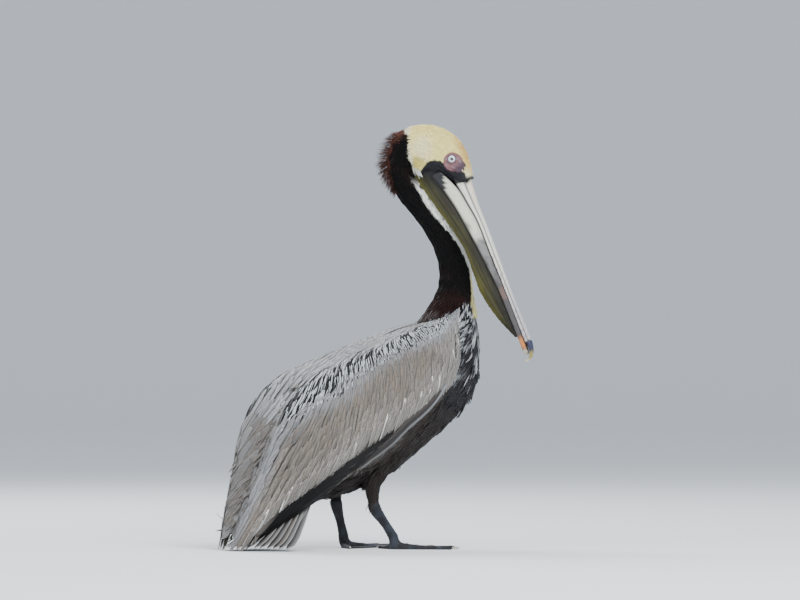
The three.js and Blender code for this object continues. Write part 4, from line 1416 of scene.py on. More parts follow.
def short_feather_tree():
    """Repeats a feather over a tract of the skin, pressed to its lie."""
    tree = bpy.data.node_groups.new("Short Feathers", "GeometryNodeTree")
    sockets = [
        ("Skin", "NodeSocketGeometry"), ("Feather", "NodeSocketObject"), ("Tract", "NodeSocketString"),
        ("Spacing", "NodeSocketFloat"), ("Length", "NodeSocketFloat"), ("Width", "NodeSocketFloat"),
        ("Thickness", "NodeSocketFloat"), ("Lift", "NodeSocketFloat"), ("Seed", "NodeSocketInt"),
        ("Material", "NodeSocketMaterial"),
    ]
    for name, kind in sockets:
        tree.interface.new_socket(name, in_out="INPUT", socket_type=kind)
    tree.interface.new_socket("Feathers", in_out="OUTPUT", socket_type="NodeSocketGeometry")
    t = Tree(tree)
    given = t.add("NodeGroupInput").outputs

    def named(name, kind="FLOAT"):
        return t.add("GeometryNodeInputNamedAttribute", {"Name": name}, data_type=kind).outputs["Attribute"]

    def chance(low, high, seed):
        inputs = {2: low, 3: high, "Seed": t.math("ADD", given["Seed"], float(seed))}
        return t.add("FunctionNodeRandomValue", inputs, data_type="FLOAT").outputs[1]

    square = t.math("MULTIPLY", given["Spacing"], given["Spacing"])
    spots = t.add("GeometryNodeDistributePointsOnFaces", {
        "Mesh": given["Skin"], "Distance Min": given["Spacing"], "Density Max": t.math("DIVIDE", 2.2, square),
        "Density Factor": named(given["Tract"]), "Seed": given["Seed"],
    }, distribute_method="POISSON")
    marked = t.add("GeometryNodeStoreNamedAttribute", {
        "Geometry": spots.outputs["Points"], "Name": "chance", "Value": chance(0.0, 1.0, 11),
    }, data_type="FLOAT", domain="POINT")
    facing = t.add("FunctionNodeAxesToRotation", {
        "Primary Axis": spots.outputs["Normal"], "Secondary Axis": named("lie", "FLOAT_VECTOR"),
    }, primary_axis="Z", secondary_axis="X")
    lift = t.math("MULTIPLY", given["Lift"], chance(-1.5, -0.6, 12))
    turns = t.add("ShaderNodeCombineXYZ", {
        "X": chance(-0.16, 0.16, 13), "Y": lift, "Z": chance(-0.16, 0.16, 14),
    })
    tilted = t.add("FunctionNodeRotateRotation", {
        "Rotation": facing.outputs[0],
        "Rotate By": t.add("FunctionNodeEulerToRotation", {"Euler": turns.outputs[0]}).outputs[0],
    }, rotation_space="LOCAL")
    size = named("size")
    scale = t.add("ShaderNodeCombineXYZ", {
        "X": t.math("MULTIPLY", t.math("MULTIPLY", given["Length"], size), chance(0.78, 1.22, 15)),
        "Y": t.math("MULTIPLY", t.math("MULTIPLY", given["Width"], size), chance(0.85, 1.15, 16)),
        "Z": t.math("MULTIPLY", given["Thickness"], size),
    })
    shape = t.add("GeometryNodeObjectInfo", {"Object": given["Feather"]}).outputs["Geometry"]
    laid = t.add("GeometryNodeInstanceOnPoints", {
        "Points": marked.outputs[0], "Instance": shape, "Rotation": tilted.outputs[0],
        "Scale": scale.outputs[0],
    })
    solid = t.add("GeometryNodeRealizeInstances", {"Geometry": laid.outputs[0]})
    patch = t.add("ShaderNodeVectorMath", {
        0: named("vane", "FLOAT_VECTOR"), 1: (PATCH, PATCH / 2, 0.0),
    }, operation="MULTIPLY")
    root = t.add("ShaderNodeVectorMath", {
        0: named("OFBake", "FLOAT_VECTOR"), 1: patch.outputs[0],
    }, operation="ADD")
    unwrapped = t.add("GeometryNodeStoreNamedAttribute", {
        "Geometry": solid.outputs[0], "Name": "OFBake", "Value": root.outputs[0],
    }, data_type="FLOAT2", domain="CORNER")
    finished = t.add("GeometryNodeSetMaterial", {
        "Geometry": unwrapped.outputs[0], "Material": given["Material"],
    })
    t.add("NodeGroupOutput", {"Feathers": finished.outputs[0]})
    return tree


def coat_from_tree(tree, skin, name, values):
    """A plain mesh of one tract's feathers, made by the node tree from a copy of the skin."""
    bearer = bpy.data.objects.new(name, skin.data.copy())
    bpy.context.scene.collection.objects.link(bearer)
    grower = bearer.modifiers.new("Short Feathers", "NODES")
    grower.node_group = tree
    for socket in tree.interface.items_tree:
        if socket.in_out == "INPUT" and socket.name in values:
            grower[socket.identifier] = values[socket.name]
    bearer.update_tag()
    bpy.context.view_layer.update()
    coat = settled(bearer, name)
    for extra in ("lie", "size", "hide", "sharp_face", *TRACTS):
        if extra in coat.data.attributes:
            coat.data.attributes.remove(coat.data.attributes[extra])
    coat.data.materials.clear()
    coat.data.materials.append(values["Material"])
    coat.data.polygons.foreach_set("material_index", np.zeros(len(coat.data.polygons), np.int32))
    if not len(coat.data.polygons):
        raise RuntimeError(f"{name}: the node tree made no feathers")
    return coat


def wing_places(points):
    """Station and share on either wing of the places nearest to points, and how far off those are."""
    stations, shares = WING.stations[::2], WING.shares[::2]
    known = WING.points[::2, ::2].reshape(-1, 3)
    tree = KDTree(len(known))
    for index, place in enumerate(known.tolist()):
        tree.insert(place, index)
    tree.balance()
    right = np.column_stack([points[:, 0], -np.abs(points[:, 1]), points[:, 2]])
    found, apart = np.array([tree.find(place)[1:] for place in right.tolist()]).T
    found = found.astype(int)
    return stations[found // len(shares)], shares[found % len(shares)], apart


TRACTS = ("head_tract", "neck_tract", "breast_tract", "belly_tract", "lining_tract")


def mark_tracts(skin):
    """Stores on the skin where each kind of short feather grows, its way, size and colours."""
    mesh = skin.data
    points, normals = places(mesh), normals_of(mesh)
    part = parts_near(points)
    spread = Spread(mesh)
    station, _, index = NECK.nearest(points)
    cover = feathered(points, part)
    on_neck = spread.calm(part_is(part, "head", "neck"), 12)
    body_lie = np.broadcast_to(unit(SPINE_WAY), points.shape).copy()
    thigh = spread.calm(part_is(part, "thigh"), 6)
    body_lie = mix(body_lie, np.array([-0.35, 0, -1.0]), thigh[:, None])
    lie = mix(body_lie, -NECK.along[index], on_neck[:, None])
    sway = np.stack([ripple(points, 30, seed) for seed in (61, 62, 63)], -1)
    lie = unit(lie + 0.12 * sway)
    lie = unit(lie - normals * dot(lie, normals)[:, None])
    head = on_neck * smoothstep(station, 9.2, 10.4)
    neck = on_neck * (1 - smoothstep(station, 9.2, 10.4)) * smoothstep(station, 0.0, 0.35)
    wing = part_is(part, "wing")
    at, down = np.zeros((2, len(points)))
    at[wing > 0], down[wing > 0] = wing_places(points[wing > 0])[:2]
    under = wing * smoothstep(down - wing_foot(at), -0.03, 0.01)
    inner = smoothstep(-normals[:, 1] * np.sign(points[:, 1]), 0.15, 0.4)
    lining = np.maximum(wing * inner, under)
    torso = spread.calm(part_is(part, "trunk", "thigh"), 2)
    trunk = np.maximum(torso, on_neck * (1 - smoothstep(station, 0.0, 0.6)))
    trunk = np.clip(trunk, 0, 1) * (trunk > 0.4)
    front = points[:, 0] - 0.4 * points[:, 2] > -60
    put(mesh, "head_tract", "FLOAT", head * cover * (cover > 0.5))
    put(mesh, "neck_tract", "FLOAT", neck * cover * (cover > 0.5))
    put(mesh, "breast_tract", "FLOAT", trunk * (wing == 0) * front)
    put(mesh, "belly_tract", "FLOAT", trunk * (wing == 0) * ~front)
    put(mesh, "lining_tract", "FLOAT", np.where(wing > 0, np.maximum(lining * (lining > 0.3), trunk), 0))
    face = smoothstep(station, 12, 15)
    size = mix(1.0, 0.62, face)
    near_neck = 1 - smoothstep(np.linalg.norm(points - [120, 0, 380], axis=1), 60, 150)
    size = mix(size, mix(1.0, 0.9, near_neck), 1 - on_neck)
    size = size * mix(1.0, mix(0.3, 0.5, smoothstep(points[:, 2], 100, 130)), thigh) * mix(1.0, 0.7, under)
    put(mesh, "size", "FLOAT", size)
    put(mesh, "lie", "FLOAT_VECTOR", lie)
    tone, rim, share = coat_colours(points, part)
    tone = paint(tone, "belly", under)
    rim = paint(rim, "under", 0.8 * under)
    put_colour(mesh, "tone", tone, share)
    put_colour(mesh, "rim", rim, 1)
    bare, gloss = bare_colours(points, part)
    hide = mix(bare, tone * 0.8, cover[:, None])
    put_colour(mesh, "hide", hide, gloss * (1 - cover) + 0.1 * cover)

# ---------------------------------------------------------------- bill, eyes and claws


def tube_faces(rings, sides, closed=True):
    """Quads between rings of points, with a cap at each end."""
    index = np.arange(rings * sides).reshape(rings, sides)
    turned = np.roll(index, -1, axis=1)
    quads = np.stack([index[:-1], index[1:], turned[1:], turned[:-1]], -1).reshape(-1, 4)
    return [quads, index[:1], index[-1:, ::-1]] if closed else [quads]


def turned_out(points, faces):
    """Faces all turned the way that gives the closed shape a volume above zero."""
    total = 0.0
    for block in faces:
        a = points[block[:, 0]]
        for k in range(1, block.shape[1] - 1):
            total += dot(a, np.cross(points[block[:, k]], points[block[:, k + 1]])).sum()
    return faces if total > 0 else [block[:, ::-1] for block in faces]


def upper_bill_shape():
    profile = [[0, 0.1], [0.78, 0], [1, 0.1], [0.97, 0.4], [0.7, 0.6], [0.52, 0.56], [0.4, 0.86], [0, 1]]
    corners = through(profile, np.linspace(0, 7, 43))
    corners[[0, -1], 0] = 0
    wide, high = np.concatenate([corners, corners[-2:0:-1] * [-1, 1]]).T
    along = np.concatenate([np.linspace(-14, 250, 84), np.linspace(254, 289, 10)])
    _, top, edge, half = through(UPPER_BILL, along, np.array(UPPER_BILL)[:, 0]).T
    points = np.stack(
        np.broadcast_arrays(along[:, None], wide * half[:, None], mix(edge[:, None], top[:, None], high)), -1
    )
    high_of = np.tile(high, len(along))
    return points.reshape(-1, 3), tube_faces(len(along), len(wide)), high_of


def nail_shape():
    t = np.linspace(0, 1, 22)
    spin = np.linspace(0, 2 * math.pi, 28, endpoint=False)
    x = BILL["length"] - BILL["nail"] + BILL["nail"] * np.sin(1.45 * t) - 2 * t * t
    z = -7 - 16.5 * t**2.4
    depth, lean, half = mix(5, 1.6, t), 1.2 * t, mix(8.8, 1.6, t**1.3)
    up = np.stack([np.sin(lean), 0 * t, np.cos(lean)], -1) * depth[:, None]
    high, wide = (np.sign(way) * np.abs(way) ** (2 / 2.2) for way in (np.cos(spin), np.sin(spin)))
    points = np.stack([x, 0 * t, z], -1)[:, None] + high[None, :, None] * up[:, None]
    points = points + wide[None, :, None] * np.array([0, 1, 0]) * half[:, None, None]
    return points.reshape(-1, 3), tube_faces(len(t), len(spin)), np.repeat(t, len(spin))


def jaw_shape():
    """Both side bars of the lower jaw in one sweep that meets at the tip."""
    along = np.concatenate([np.linspace(-26, 242, 66), np.linspace(250, 303, 12)])
    _, top, foot, half = through(JAW, along, np.array(JAW)[:, 0]).T
    path = np.concatenate([
        np.column_stack([along, -half, top, foot]),
        [[JAW_TIP, 0, top[-1], foot[-1]]],
        np.column_stack([along, half, top, foot])[::-1],
    ])
    way = unit(np.gradient(path[:, :2], axis=0))
    out = np.column_stack([way[:, 1], -way[:, 0]])
    share = np.array([0, 0.06, 0.25, 0.5, 0.75, 0.94, 1, 1, 0.7, 0.3, 0])
    away = np.array([-0.5, 0.15, 0.65, 0.8, 0.6, 0.1, -0.5, -2.8, -3.2, -3.2, -2.8])
    high = mix(path[:, None, 2], path[:, None, 3], share)
    flat = path[:, None, :2] + out[:, None] * away[None, :, None]
    points = np.concatenate([flat, high[..., None]], -1)
    return points.reshape(-1, 3), tube_faces(len(path), len(share)), np.tile(share, len(path))


def upper_bill_colours(points, high):
    along = points[:, 0]
    world = on_bill(points)
    count = len(points)
    colours = np.tile(linear(216, 213, 202), (count, 1))
    warm = (1 - smoothstep(along, 20, 90)) * smoothstep(high, 0.7, 0.95)
    colours = tint(colours, (214, 190, 150), 0.5 * warm)
    lavender = smoothstep(along + 14 * ripple(world, 50, 71), 130, 240)
    colours = tint(colours, (158, 152, 166), 0.6 * lavender)
    mottle = smoothstep(ripple(world, 9, 72) + 0.6 * ripple(world, 3.5, 73), 0.1, 0.9)
    mottle *= smoothstep(along, 60, 160)
    mottle *= mix(0.85, 0.3, smoothstep(high, 0.5, 0.7))
    colours = tint(colours, (96, 92, 98), 0.75 * mottle)
    groove = np.exp(-(((high - 0.57) / 0.045) ** 2)) * smoothstep(np.abs(points[:, 1]), 3, 6)
    edge = 1 - smoothstep(high, 0.02, 0.1)
    seam = np.clip(groove * 0.85 + edge * 0.8 * (0.6 + 0.4 * ripple(world, 5, 74)), 0, 1)
    colours = tint(colours, (58, 54, 56), seam)
    bare = 1 - smoothstep(along + 2.2 * ripple(world, 6, 75) - 0.2 * (points[:, 2] + 10), 3.2, 6)
    flecks = smoothstep(ripple(world, 2.6, 76), 0.1, 0.6) * (1 - smoothstep(along, 6, 13)) * 0.6
    dark = np.clip(bare * (points[:, 2] < -4) + flecks * (points[:, 2] < -4), 0, 1)
    colours = paint(colours, "gape", dark)
    return colours, 0.55 - 0.2 * dark


def jaw_colours(points, share):
    along, up = points[:, 0], points[:, 2]
    world = on_bill(points)
    colours = np.tile(linear(207, 205, 190), (len(points), 1))
    grey = smoothstep(along + 12 * ripple(world, 36, 81), 84, 128)
    colours = tint(colours, (108, 108, 110), 0.9 * grey)
    dark = smoothstep(along + 16 * ripple(world, 30, 82), 132, 190)
    colours = tint(colours, (62, 58, 59), 0.85 * dark)
    mottle = smoothstep(ripple(world, 8, 83) + 0.7 * ripple(world, 3, 84), 0.2, 0.9)
    mottle *= smoothstep(along, 70, 130)
    colours = tint(colours, (58, 55, 60), 0.55 * mottle)
    rosy = smoothstep(ripple(world, 42, 85), 0.2, 0.9) * smoothstep(along, 150, 200)
    colours = tint(colours, (140, 104, 88), 0.35 * rosy)
    orange = smoothstep(along + 2 * ripple(world, 8, 86), 276, 284) * (1 - smoothstep(along, 296, 301))
    colours = tint(colours, (206, 128, 66), 0.85 * orange)
    tip = smoothstep(along, 299, 304)
    colours = tint(colours, (196, 190, 170), 0.8 * tip)
    low = smoothstep(share + 0.03 * ripple(world, 20, 87), 0.74, 0.82) * (1 - smoothstep(along, 190, 250))
    colours = paint(colours, "pouch_top", 0.92 * low)
    seam = 1 - smoothstep(share, 0.0, 0.1)
    colours = tint(colours, (50, 46, 48), 0.75 * seam)
    slant = along + 4.4 + 3.1 * (up + 41.7) + 1.5 * ripple(world, 6, 88)
    bare = 1 - smoothstep(slant, -2, 2)
    flecks = smoothstep(ripple(world, 3, 89) + 0.5 * ripple(world, 7, 90), 0.1, 0.7)
    flecks *= 1 - smoothstep(slant, 6, 26)
    colours = paint(colours, "gape", np.clip(bare + 0.55 * flecks, 0, 1))
    return colours, 0.5 - 0.15 * low


def nail_colours(points, t):
    world = on_bill(points)
    colours = np.tile(linear(48, 52, 74), (len(points), 1))
    colours = tint(colours, (146, 134, 78), smoothstep(t + 0.04 * ripple(world, 6, 91), 0.3, 0.5))
    colours = tint(colours, (214, 202, 168), smoothstep(t, 0.68, 0.95))
    return colours, np.full(len(points), 0.5)


def horn_piece(name, shapes, material):
    points, faces, colours, gloss = [], [], [], []
    start = 0
    for (place, blocks, marks), painter in shapes:
        colour, shine = painter(place, marks)
        blocks = turned_out(on_bill(place), blocks)
        faces += [block + start for block in blocks]
        start += len(place)
        points.append(on_bill(place))
        colours.append(colour)
        gloss.append(shine)
    piece = make_mesh(name, np.concatenate(points), faces)
    put_colour(piece.data, "hide", np.concatenate(colours), np.concatenate(gloss))
    piece.data.materials.append(material)
    return piece


def eyeballs(material):
    points, faces, colours = [], [], []
    bends = np.concatenate([np.linspace(0.6, 62, 100), np.linspace(66, 179, 30)])
    turns = 72
    spin = np.linspace(0, 2 * math.pi, turns, endpoint=False)

    def edge(size):
        """Angle from an eye's axis, in degrees, of a circle of this radius on the ball."""
        return math.degrees(math.asin(size / EYE["radius"]))

    for k, side in enumerate(SIDES):
        middle, axis = eye_axis(side)
        above = np.array([0, 0, 1.0])
        across = np.cross(axis, above)
        bend = np.radians(bends)[:, None]
        out = np.cos(spin)[:, None] * across + np.sin(spin)[:, None] * above
        radius = EYE["radius"] + 0.25 * np.exp(-((bends / 22) ** 2))
        ball = axis * np.cos(bend)[..., None] + out[None] * np.sin(bend)[..., None]
        ball = middle + ball * radius[:, None, None]
        points.append(ball.reshape(-1, 3))
        blocks = turned_out(points[-1] - middle, tube_faces(len(bends), turns))
        faces += [block + k * len(bends) * turns for block in blocks]
        rays = 0.5 + 0.5 * np.sin(spin * 37 + 2 * np.sin(spin * 5))
        at = np.broadcast_to(bends[:, None], (len(bends), turns))
        iris = np.array(linear(206, 218, 222)) * (0.86 + 0.14 * rays)[None, :, None]
        iris = tint(iris, (84, 100, 112), 0.7 * (1 - smoothstep(at, edge(2.5), edge(3.4))))
        iris = tint(iris, (96, 112, 124), 0.5 * smoothstep(at, edge(5.2), edge(6.2)))
        colour = mix(np.broadcast_to(linear(10, 10, 12), iris.shape), iris,
                     smoothstep(at, edge(EYE["pupil"]) - 0.7, edge(EYE["pupil"]) + 0.7)[..., None])
        colour = tint(colour, (44, 34, 46), smoothstep(at, edge(EYE["iris"]) - 0.8, edge(EYE["iris"]) + 0.8))
        colours.append(colour.reshape(-1, 3))
    eyes = make_mesh("Eyes", np.concatenate(points), faces)
    put_colour(eyes.data, "hide", np.concatenate(colours), 1)
    eyes.data.materials.append(material)
    return eyes


def claws(material):
    work = bmesh.new()
    names = [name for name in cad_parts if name.startswith("claw_")]
    for name in names:
        work.from_mesh(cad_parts[name].data)
    bmesh.ops.remove_doubles(work, verts=work.verts, dist=0.02 * MM)
    mesh = bpy.data.meshes.new("Claws")
    work.to_mesh(mesh)
    work.free()
    mesh.materials.clear()
    while mesh.uv_layers:
        mesh.uv_layers.remove(mesh.uv_layers[0])
    thing = bpy.data.objects.new("Claws", mesh)
    bpy.context.scene.collection.objects.link(thing)
    finer = thing.modifiers.new("Subdivision", "SUBSURF")
    finer.levels = finer.render_levels = 1
    piece = settled(thing, "Claws")
    piece.data.polygons.foreach_set("use_smooth", np.ones(len(piece.data.polygons), bool))
    points = places(piece.data)
    points[:, 2] = np.maximum(points[:, 2], 0.0)
    move(piece.data, points)
    piece.data.materials.clear()
    piece.data.materials.append(material)
    return piece, names


# ---------------------------------------------------------------- materials


def shader_group(name, outputs):
    group = bpy.data.node_groups.new(name, "ShaderNodeTree")
    for label, kind in outputs:
        group.interface.new_socket(label, in_out="OUTPUT", socket_type=kind)
    return group, Tree(group)


def feather_look():
    """Colour and relief of feathers from what each carries: tone, rim and the place along and across."""
    group, t = shader_group("Feather Look", [("Colour", "NodeSocketColor"), ("Height", "NodeSocketFloat")])
    tone = t.add("ShaderNodeAttribute", attribute_name="tone")
    rim = t.add("ShaderNodeAttribute", attribute_name="rim")
    vane = t.add("ShaderNodeAttribute", attribute_name="vane").outputs["Vector"]
    vane = t.add("ShaderNodeSeparateXYZ", {0: vane})
    chance = t.add("ShaderNodeAttribute", attribute_name="chance").outputs["Fac"]
    along, across = vane.outputs[0], t.math("ABSOLUTE", vane.outputs[1])
    tip = t.stretch(along, 0.72, 1.02)
    near_edge = t.math("MAXIMUM", across, tip)
    start = t.math("SUBTRACT", 1.0, tone.outputs["Alpha"])
    soft = t.math("ADD", start, 0.22)
    mask = t.stretch(near_edge, t.math("SUBTRACT", start, 0.06), soft)
    pale = t.math("SUBTRACT", 1.0, t.math("MULTIPLY", t.math("SUBTRACT", tone.outputs["Alpha"], 0.3), 4.0))
    mask = t.math("MAXIMUM", mask, t.math("GREATER_THAN", chance, pale))
    colour = t.mix_colour(mask, tone.outputs["Color"], rim.outputs["Color"])
    slanted = t.math("MULTIPLY", t.math("SUBTRACT", along, t.math("MULTIPLY", across, 0.2)), 130.0)
    barbs = t.math("SINE", t.math("ADD", slanted, t.math("MULTIPLY", chance, 40.0)))
    shaft = t.math("SUBTRACT", 1.0, t.stretch(across, 0.0, 0.16))
    light = t.math("ADD", t.math("MULTIPLY", chance, 0.24), 0.88)
    light = t.math("ADD", light, t.math("MULTIPLY", barbs, 0.035))
    light = t.math("SUBTRACT", light, t.math("MULTIPLY", shaft, 0.16))
    gather = t.add("ShaderNodeCombineXYZ", {0: light, 1: light, 2: light})
    shaded = t.mix_colour(1.0, colour, gather.outputs[0], "MULTIPLY")
    height = t.math("ADD", t.math("MULTIPLY", barbs, 0.35), shaft)
    t.add("NodeGroupOutput", {"Colour": shaded, "Height": height})
    return group


def hide_look():
    """Colour and relief of skin and horn: the colours they carry, broken up by fine mottling and wrinkles."""
    group, t = shader_group("Hide Look", [
        ("Colour", "NodeSocketColor"), ("Height", "NodeSocketFloat"), ("Roughness", "NodeSocketFloat"),
    ])
    hide = t.add("ShaderNodeAttribute", attribute_name="hide")
    place = t.add("ShaderNodeTexCoord").outputs["Object"]
    blotches = t.add("ShaderNodeTexNoise", {"Vector": place, "Scale": 240.0, "Detail": 4.0, "Roughness": 0.6})
    fine = t.add("ShaderNodeTexNoise", {"Vector": place, "Scale": 900.0, "Detail": 3.0, "Roughness": 0.65})
    creases = t.add("ShaderNodeTexVoronoi", {"Vector": place, "Scale": 420.0}, feature="DISTANCE_TO_EDGE")
    light = t.math("ADD", 0.8, t.math("MULTIPLY", blotches.outputs["Fac"], 0.4))
    gather = t.add("ShaderNodeCombineXYZ", {0: light, 1: light, 2: light})
    colour = t.mix_colour(1.0, hide.outputs["Color"], gather.outputs[0], "MULTIPLY")
    cracks = t.stretch(creases.outputs["Distance"], 0.0, 0.12)
    height = t.math("ADD", t.math("MULTIPLY", fine.outputs["Fac"], 0.7), t.math("MULTIPLY", cracks, 0.5))
    rough = t.math("SUBTRACT", 0.78, t.math("MULTIPLY", hide.outputs["Alpha"], 0.75))
    rough = t.math("ADD", rough, t.math("MULTIPLY", fine.outputs["Fac"], 0.16))
    t.add("NodeGroupOutput", {"Colour": colour, "Height": height, "Roughness": rough})
    return group


def material(name, group=None, bump=0.0, distance=0.0003, links=(), **settings):
    """A Principled material. `links` pairs outputs of the group with inputs of the shader."""
    made = bpy.data.materials.new(name)
    made.use_nodes = True
    t = Tree(made.node_tree)
    shader = made.node_tree.nodes["Principled BSDF"]
    for socket, value in settings.items():
        shader.inputs[socket.replace("_", " ")].default_value = value
    if group:
        look = t.add("ShaderNodeGroup", node_tree=group)
        for source, target in links:
            t.feed(shader.inputs[target], look.outputs[source])
        if bump:
            relief = t.add("ShaderNodeBump", {
                "Height": look.outputs["Height"], "Strength": bump, "Distance": distance,
            })
            t.feed(shader.inputs["Normal"], relief.outputs["Normal"])
    return made


def named_material(name):
    """The materials of the bird, each made once."""
    if name in bpy.data.materials:
        return bpy.data.materials[name]
    feather = bpy.data.node_groups.get("Feather Look") or feather_look()
    hide = bpy.data.node_groups.get("Hide Look") or hide_look()
    whole = (("Colour", "Base Color"), ("Roughness", "Roughness"))
    if name == "Feathers":
        return material(name, feather, 0.25, 0.0003, (("Colour", "Base Color"),), Roughness=0.62,
                        Specular_IOR_Level=0.3)
    if name == "Down":
        return material(name, feather, 0.15, 0.0002, (("Colour", "Base Color"),), Roughness=0.8,
                        Specular_IOR_Level=0.15)
    if name == "Hide":
        return material(name, hide, 0.5, 0.0004, whole, Specular_IOR_Level=0.32)
    if name == "Horn":
        return material(name, hide, 0.25, 0.0002, whole)
    if name == "Claw":
        return material(name, None, Base_Color=(*linear(170, 164, 150), 1), Roughness=0.42)
    if name == "Eye":
        return material(name, hide, 0, 0, (("Colour", "Base Color"),), Roughness=0.12, Coat_Weight=1.0,
                        Coat_Roughness=0.02)
    raise RuntimeError(f"no material is called {name}")


# ---------------------------------------------------------------- operators


class BirdSizes(bpy.types.PropertyGroup):
    """What a user can change before the pieces are built."""

    voxel: FloatProperty(name="Skin detail", description="Size of the cells that the skin is closed from",
                         default=2.1 * MM, unit="LENGTH")
    head_spacing: FloatProperty(name="Head spacing", description="Distance between feathers on the head",
                                default=1.7 * MM, unit="LENGTH")
    neck_spacing: FloatProperty(name="Neck spacing", description="Distance between feathers on the neck",
                                default=2.5 * MM, unit="LENGTH")
    body_spacing: FloatProperty(name="Body spacing", default=3.4 * MM, unit="LENGTH",
                                description="Distance between feathers on breast and belly")
    seed: IntProperty(name="Seed", description="Which of the possible coats is grown", default=5,
                      subtype="UNSIGNED")
    aim: FloatVectorProperty(name="Aim", description="Point that the camera looks at", subtype="XYZ",
                             unit="LENGTH", default=(0.0507, -0.0236, 0.413))
    away: FloatProperty(name="Camera distance", description="From the aim to the camera", default=12.0,
                        unit="LENGTH")
    azimuth: FloatProperty(name="Camera azimuth", default=math.radians(-25), unit="ROTATION",
                           description="Turn of the camera round the bird from its right side")
    frame_width: FloatProperty(name="Frame width", description="Width of what the camera shows at the aim",
                               default=1.328, unit="LENGTH")


def sizes():
    return bpy.context.scene.pelican


class PieceOperator(bpy.types.Operator):
    """Builds some of the bird's pieces"""

    bl_options = {"REGISTER", "UNDO"}

    def execute(self, context):
        self.build(sizes())
        return {"FINISHED"}


def finish_piece(piece, slot, *replaced):
    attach(piece, BODY_NAME)
    if replaced:
        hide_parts(*replaced)


class PELICAN_OT_skin(PieceOperator):
    """Closes one skin round all the flesh, sculpts it and colours it"""

    bl_idname = "pelican.skin"
    bl_label = "Skin"

    def build(self, given):
        body = closed_skin(given.voxel / MM)
        lay_under_coat(body)
        body = thin_out(body, 0.4)
        refine(body, near_eyes(19), 1)
        refine(body, near_eyes(10.5), 1)
        move(body.data, Spread(body.data).fair(places(body.data), 2))
        sculpt(body)
        unwrap(body)
        mark_tracts(body)
        body.name = "skin"
        body.data.polygons.foreach_set("use_smooth", np.ones(len(body.data.polygons), bool))
        body.data.materials.clear()
        body.data.materials.append(named_material("Hide"))
        points, faces = lid_rims()
        rims = make_mesh("lid_rims", points, turned_out(points, [faces]))
        put_colour(rims.data, "hide", np.tile(linear(92, 62, 74), (len(rims.data.vertices), 1)), 0.6)
        rims.data.materials.append(named_material("Hide"))
        finish_piece(body, "pouch_skin", *FLESH_WITHOUT_EYES)
        finish_piece(rims, "pouch_skin")


FLESH_WITHOUT_EYES = [name for name in FLESH if not name.startswith("eye")]


class PELICAN_OT_short_feathers(PieceOperator):
    """Grows the short feathers of head, neck, breast, belly, back and thighs over the skin"""

    bl_idname = "pelican.short_feathers"
    bl_label = "Short Feathers"

    def build(self, given):
        skin = bpy.data.objects["skin"]
        pattern = feather_pattern()
        tree = short_feather_tree()
        down, vanes = named_material("Down"), named_material("Feathers")
        tracts = [
            ("head", "head_feathers", given.head_spacing, 6.2, 2.3, 0.34, 0.08, down),
            ("neck", "neck_feathers", given.neck_spacing, 9.5, 3.4, 0.45, 0.08, down),
            ("breast", "breast_feathers", given.body_spacing, 26, 3.8, 0.8, 0.05, vanes),
            ("belly", "breast_feathers", given.body_spacing, 26, 4.4, 0.8, 0.05, vanes),
            ("lining", "breast_feathers", given.body_spacing, 22, 4.4, 0.6, 0.02, vanes),
        ]
        for kind, slot, spacing, length, width, thick, lift, look in tracts:
            coat = coat_from_tree(tree, skin, f"{kind}_feathers", {
                "Feather": pattern, "Tract": f"{kind}_tract", "Spacing": spacing, "Length": length * MM,
                "Width": width * MM, "Thickness": thick * MM, "Lift": lift, "Seed": given.seed,
                "Material": look,
            })
            finish_piece(coat, slot)
        bpy.data.objects.remove(pattern, do_unlink=True)


class PELICAN_OT_wing_feathers(PieceOperator):
    """Lays the coverts, the shoulder feathers and the broad feathers over both folded wings"""

    bl_idname = "pelican.wing_feathers"
    bl_label = "Wing Feathers"

    def build(self, given):
        skin_map = SkinMap(bpy.data.objects["skin"])
        look = named_material("Feathers")
        for name, layers in [
            ("wing_coverts", (great_coverts,)),
            ("wing_band", (lesser_coverts,)),
            ("mantle_feathers", (back_feathers, tertials)),
        ]:
            plumage = Plumage(given.seed + len(name))
            for layer in layers:
                layer(plumage)
            finish_piece(plumage.make(name, skin_map, look), "silver_feathers")


class PELICAN_OT_flight_feathers(PieceOperator):
    """Lays the flight feathers along the wings' lower edges"""

    bl_idname = "pelican.flight_feathers"
    bl_label = "Flight Feathers"

    def build(self, given):
        plumage = Plumage(given.seed + 3)
        flight_feathers(plumage)
        coat = plumage.make("flight_feathers", SkinMap(bpy.data.objects["skin"]), named_material("Feathers"))
        finish_piece(coat, "flight_feathers", "primaries_right", "primaries_left")


class PELICAN_OT_tail(PieceOperator):
    """Lays the fan of the tail"""

    bl_idname = "pelican.tail"
    bl_label = "Tail"

    def build(self, given):
        plumage = Plumage(given.seed + 4)
        tail_feathers(plumage)
        coat = plumage.make("tail_feathers", SkinMap(bpy.data.objects["skin"]), named_material("Feathers"))
        finish_piece(coat, "silver_feathers", "tail")


class PELICAN_OT_crest(PieceOperator):
    """Grows the crest down the nape"""

    bl_idname = "pelican.crest"
    bl_label = "Crest"

    def build(self, given):
        plumage = Plumage(given.seed + 5)
        crest_feathers(plumage)
        coat = plumage.make("crest_feathers", SkinMap(bpy.data.objects["skin"]), named_material("Feathers"))
        finish_piece(coat, "crest_feathers", "crest")


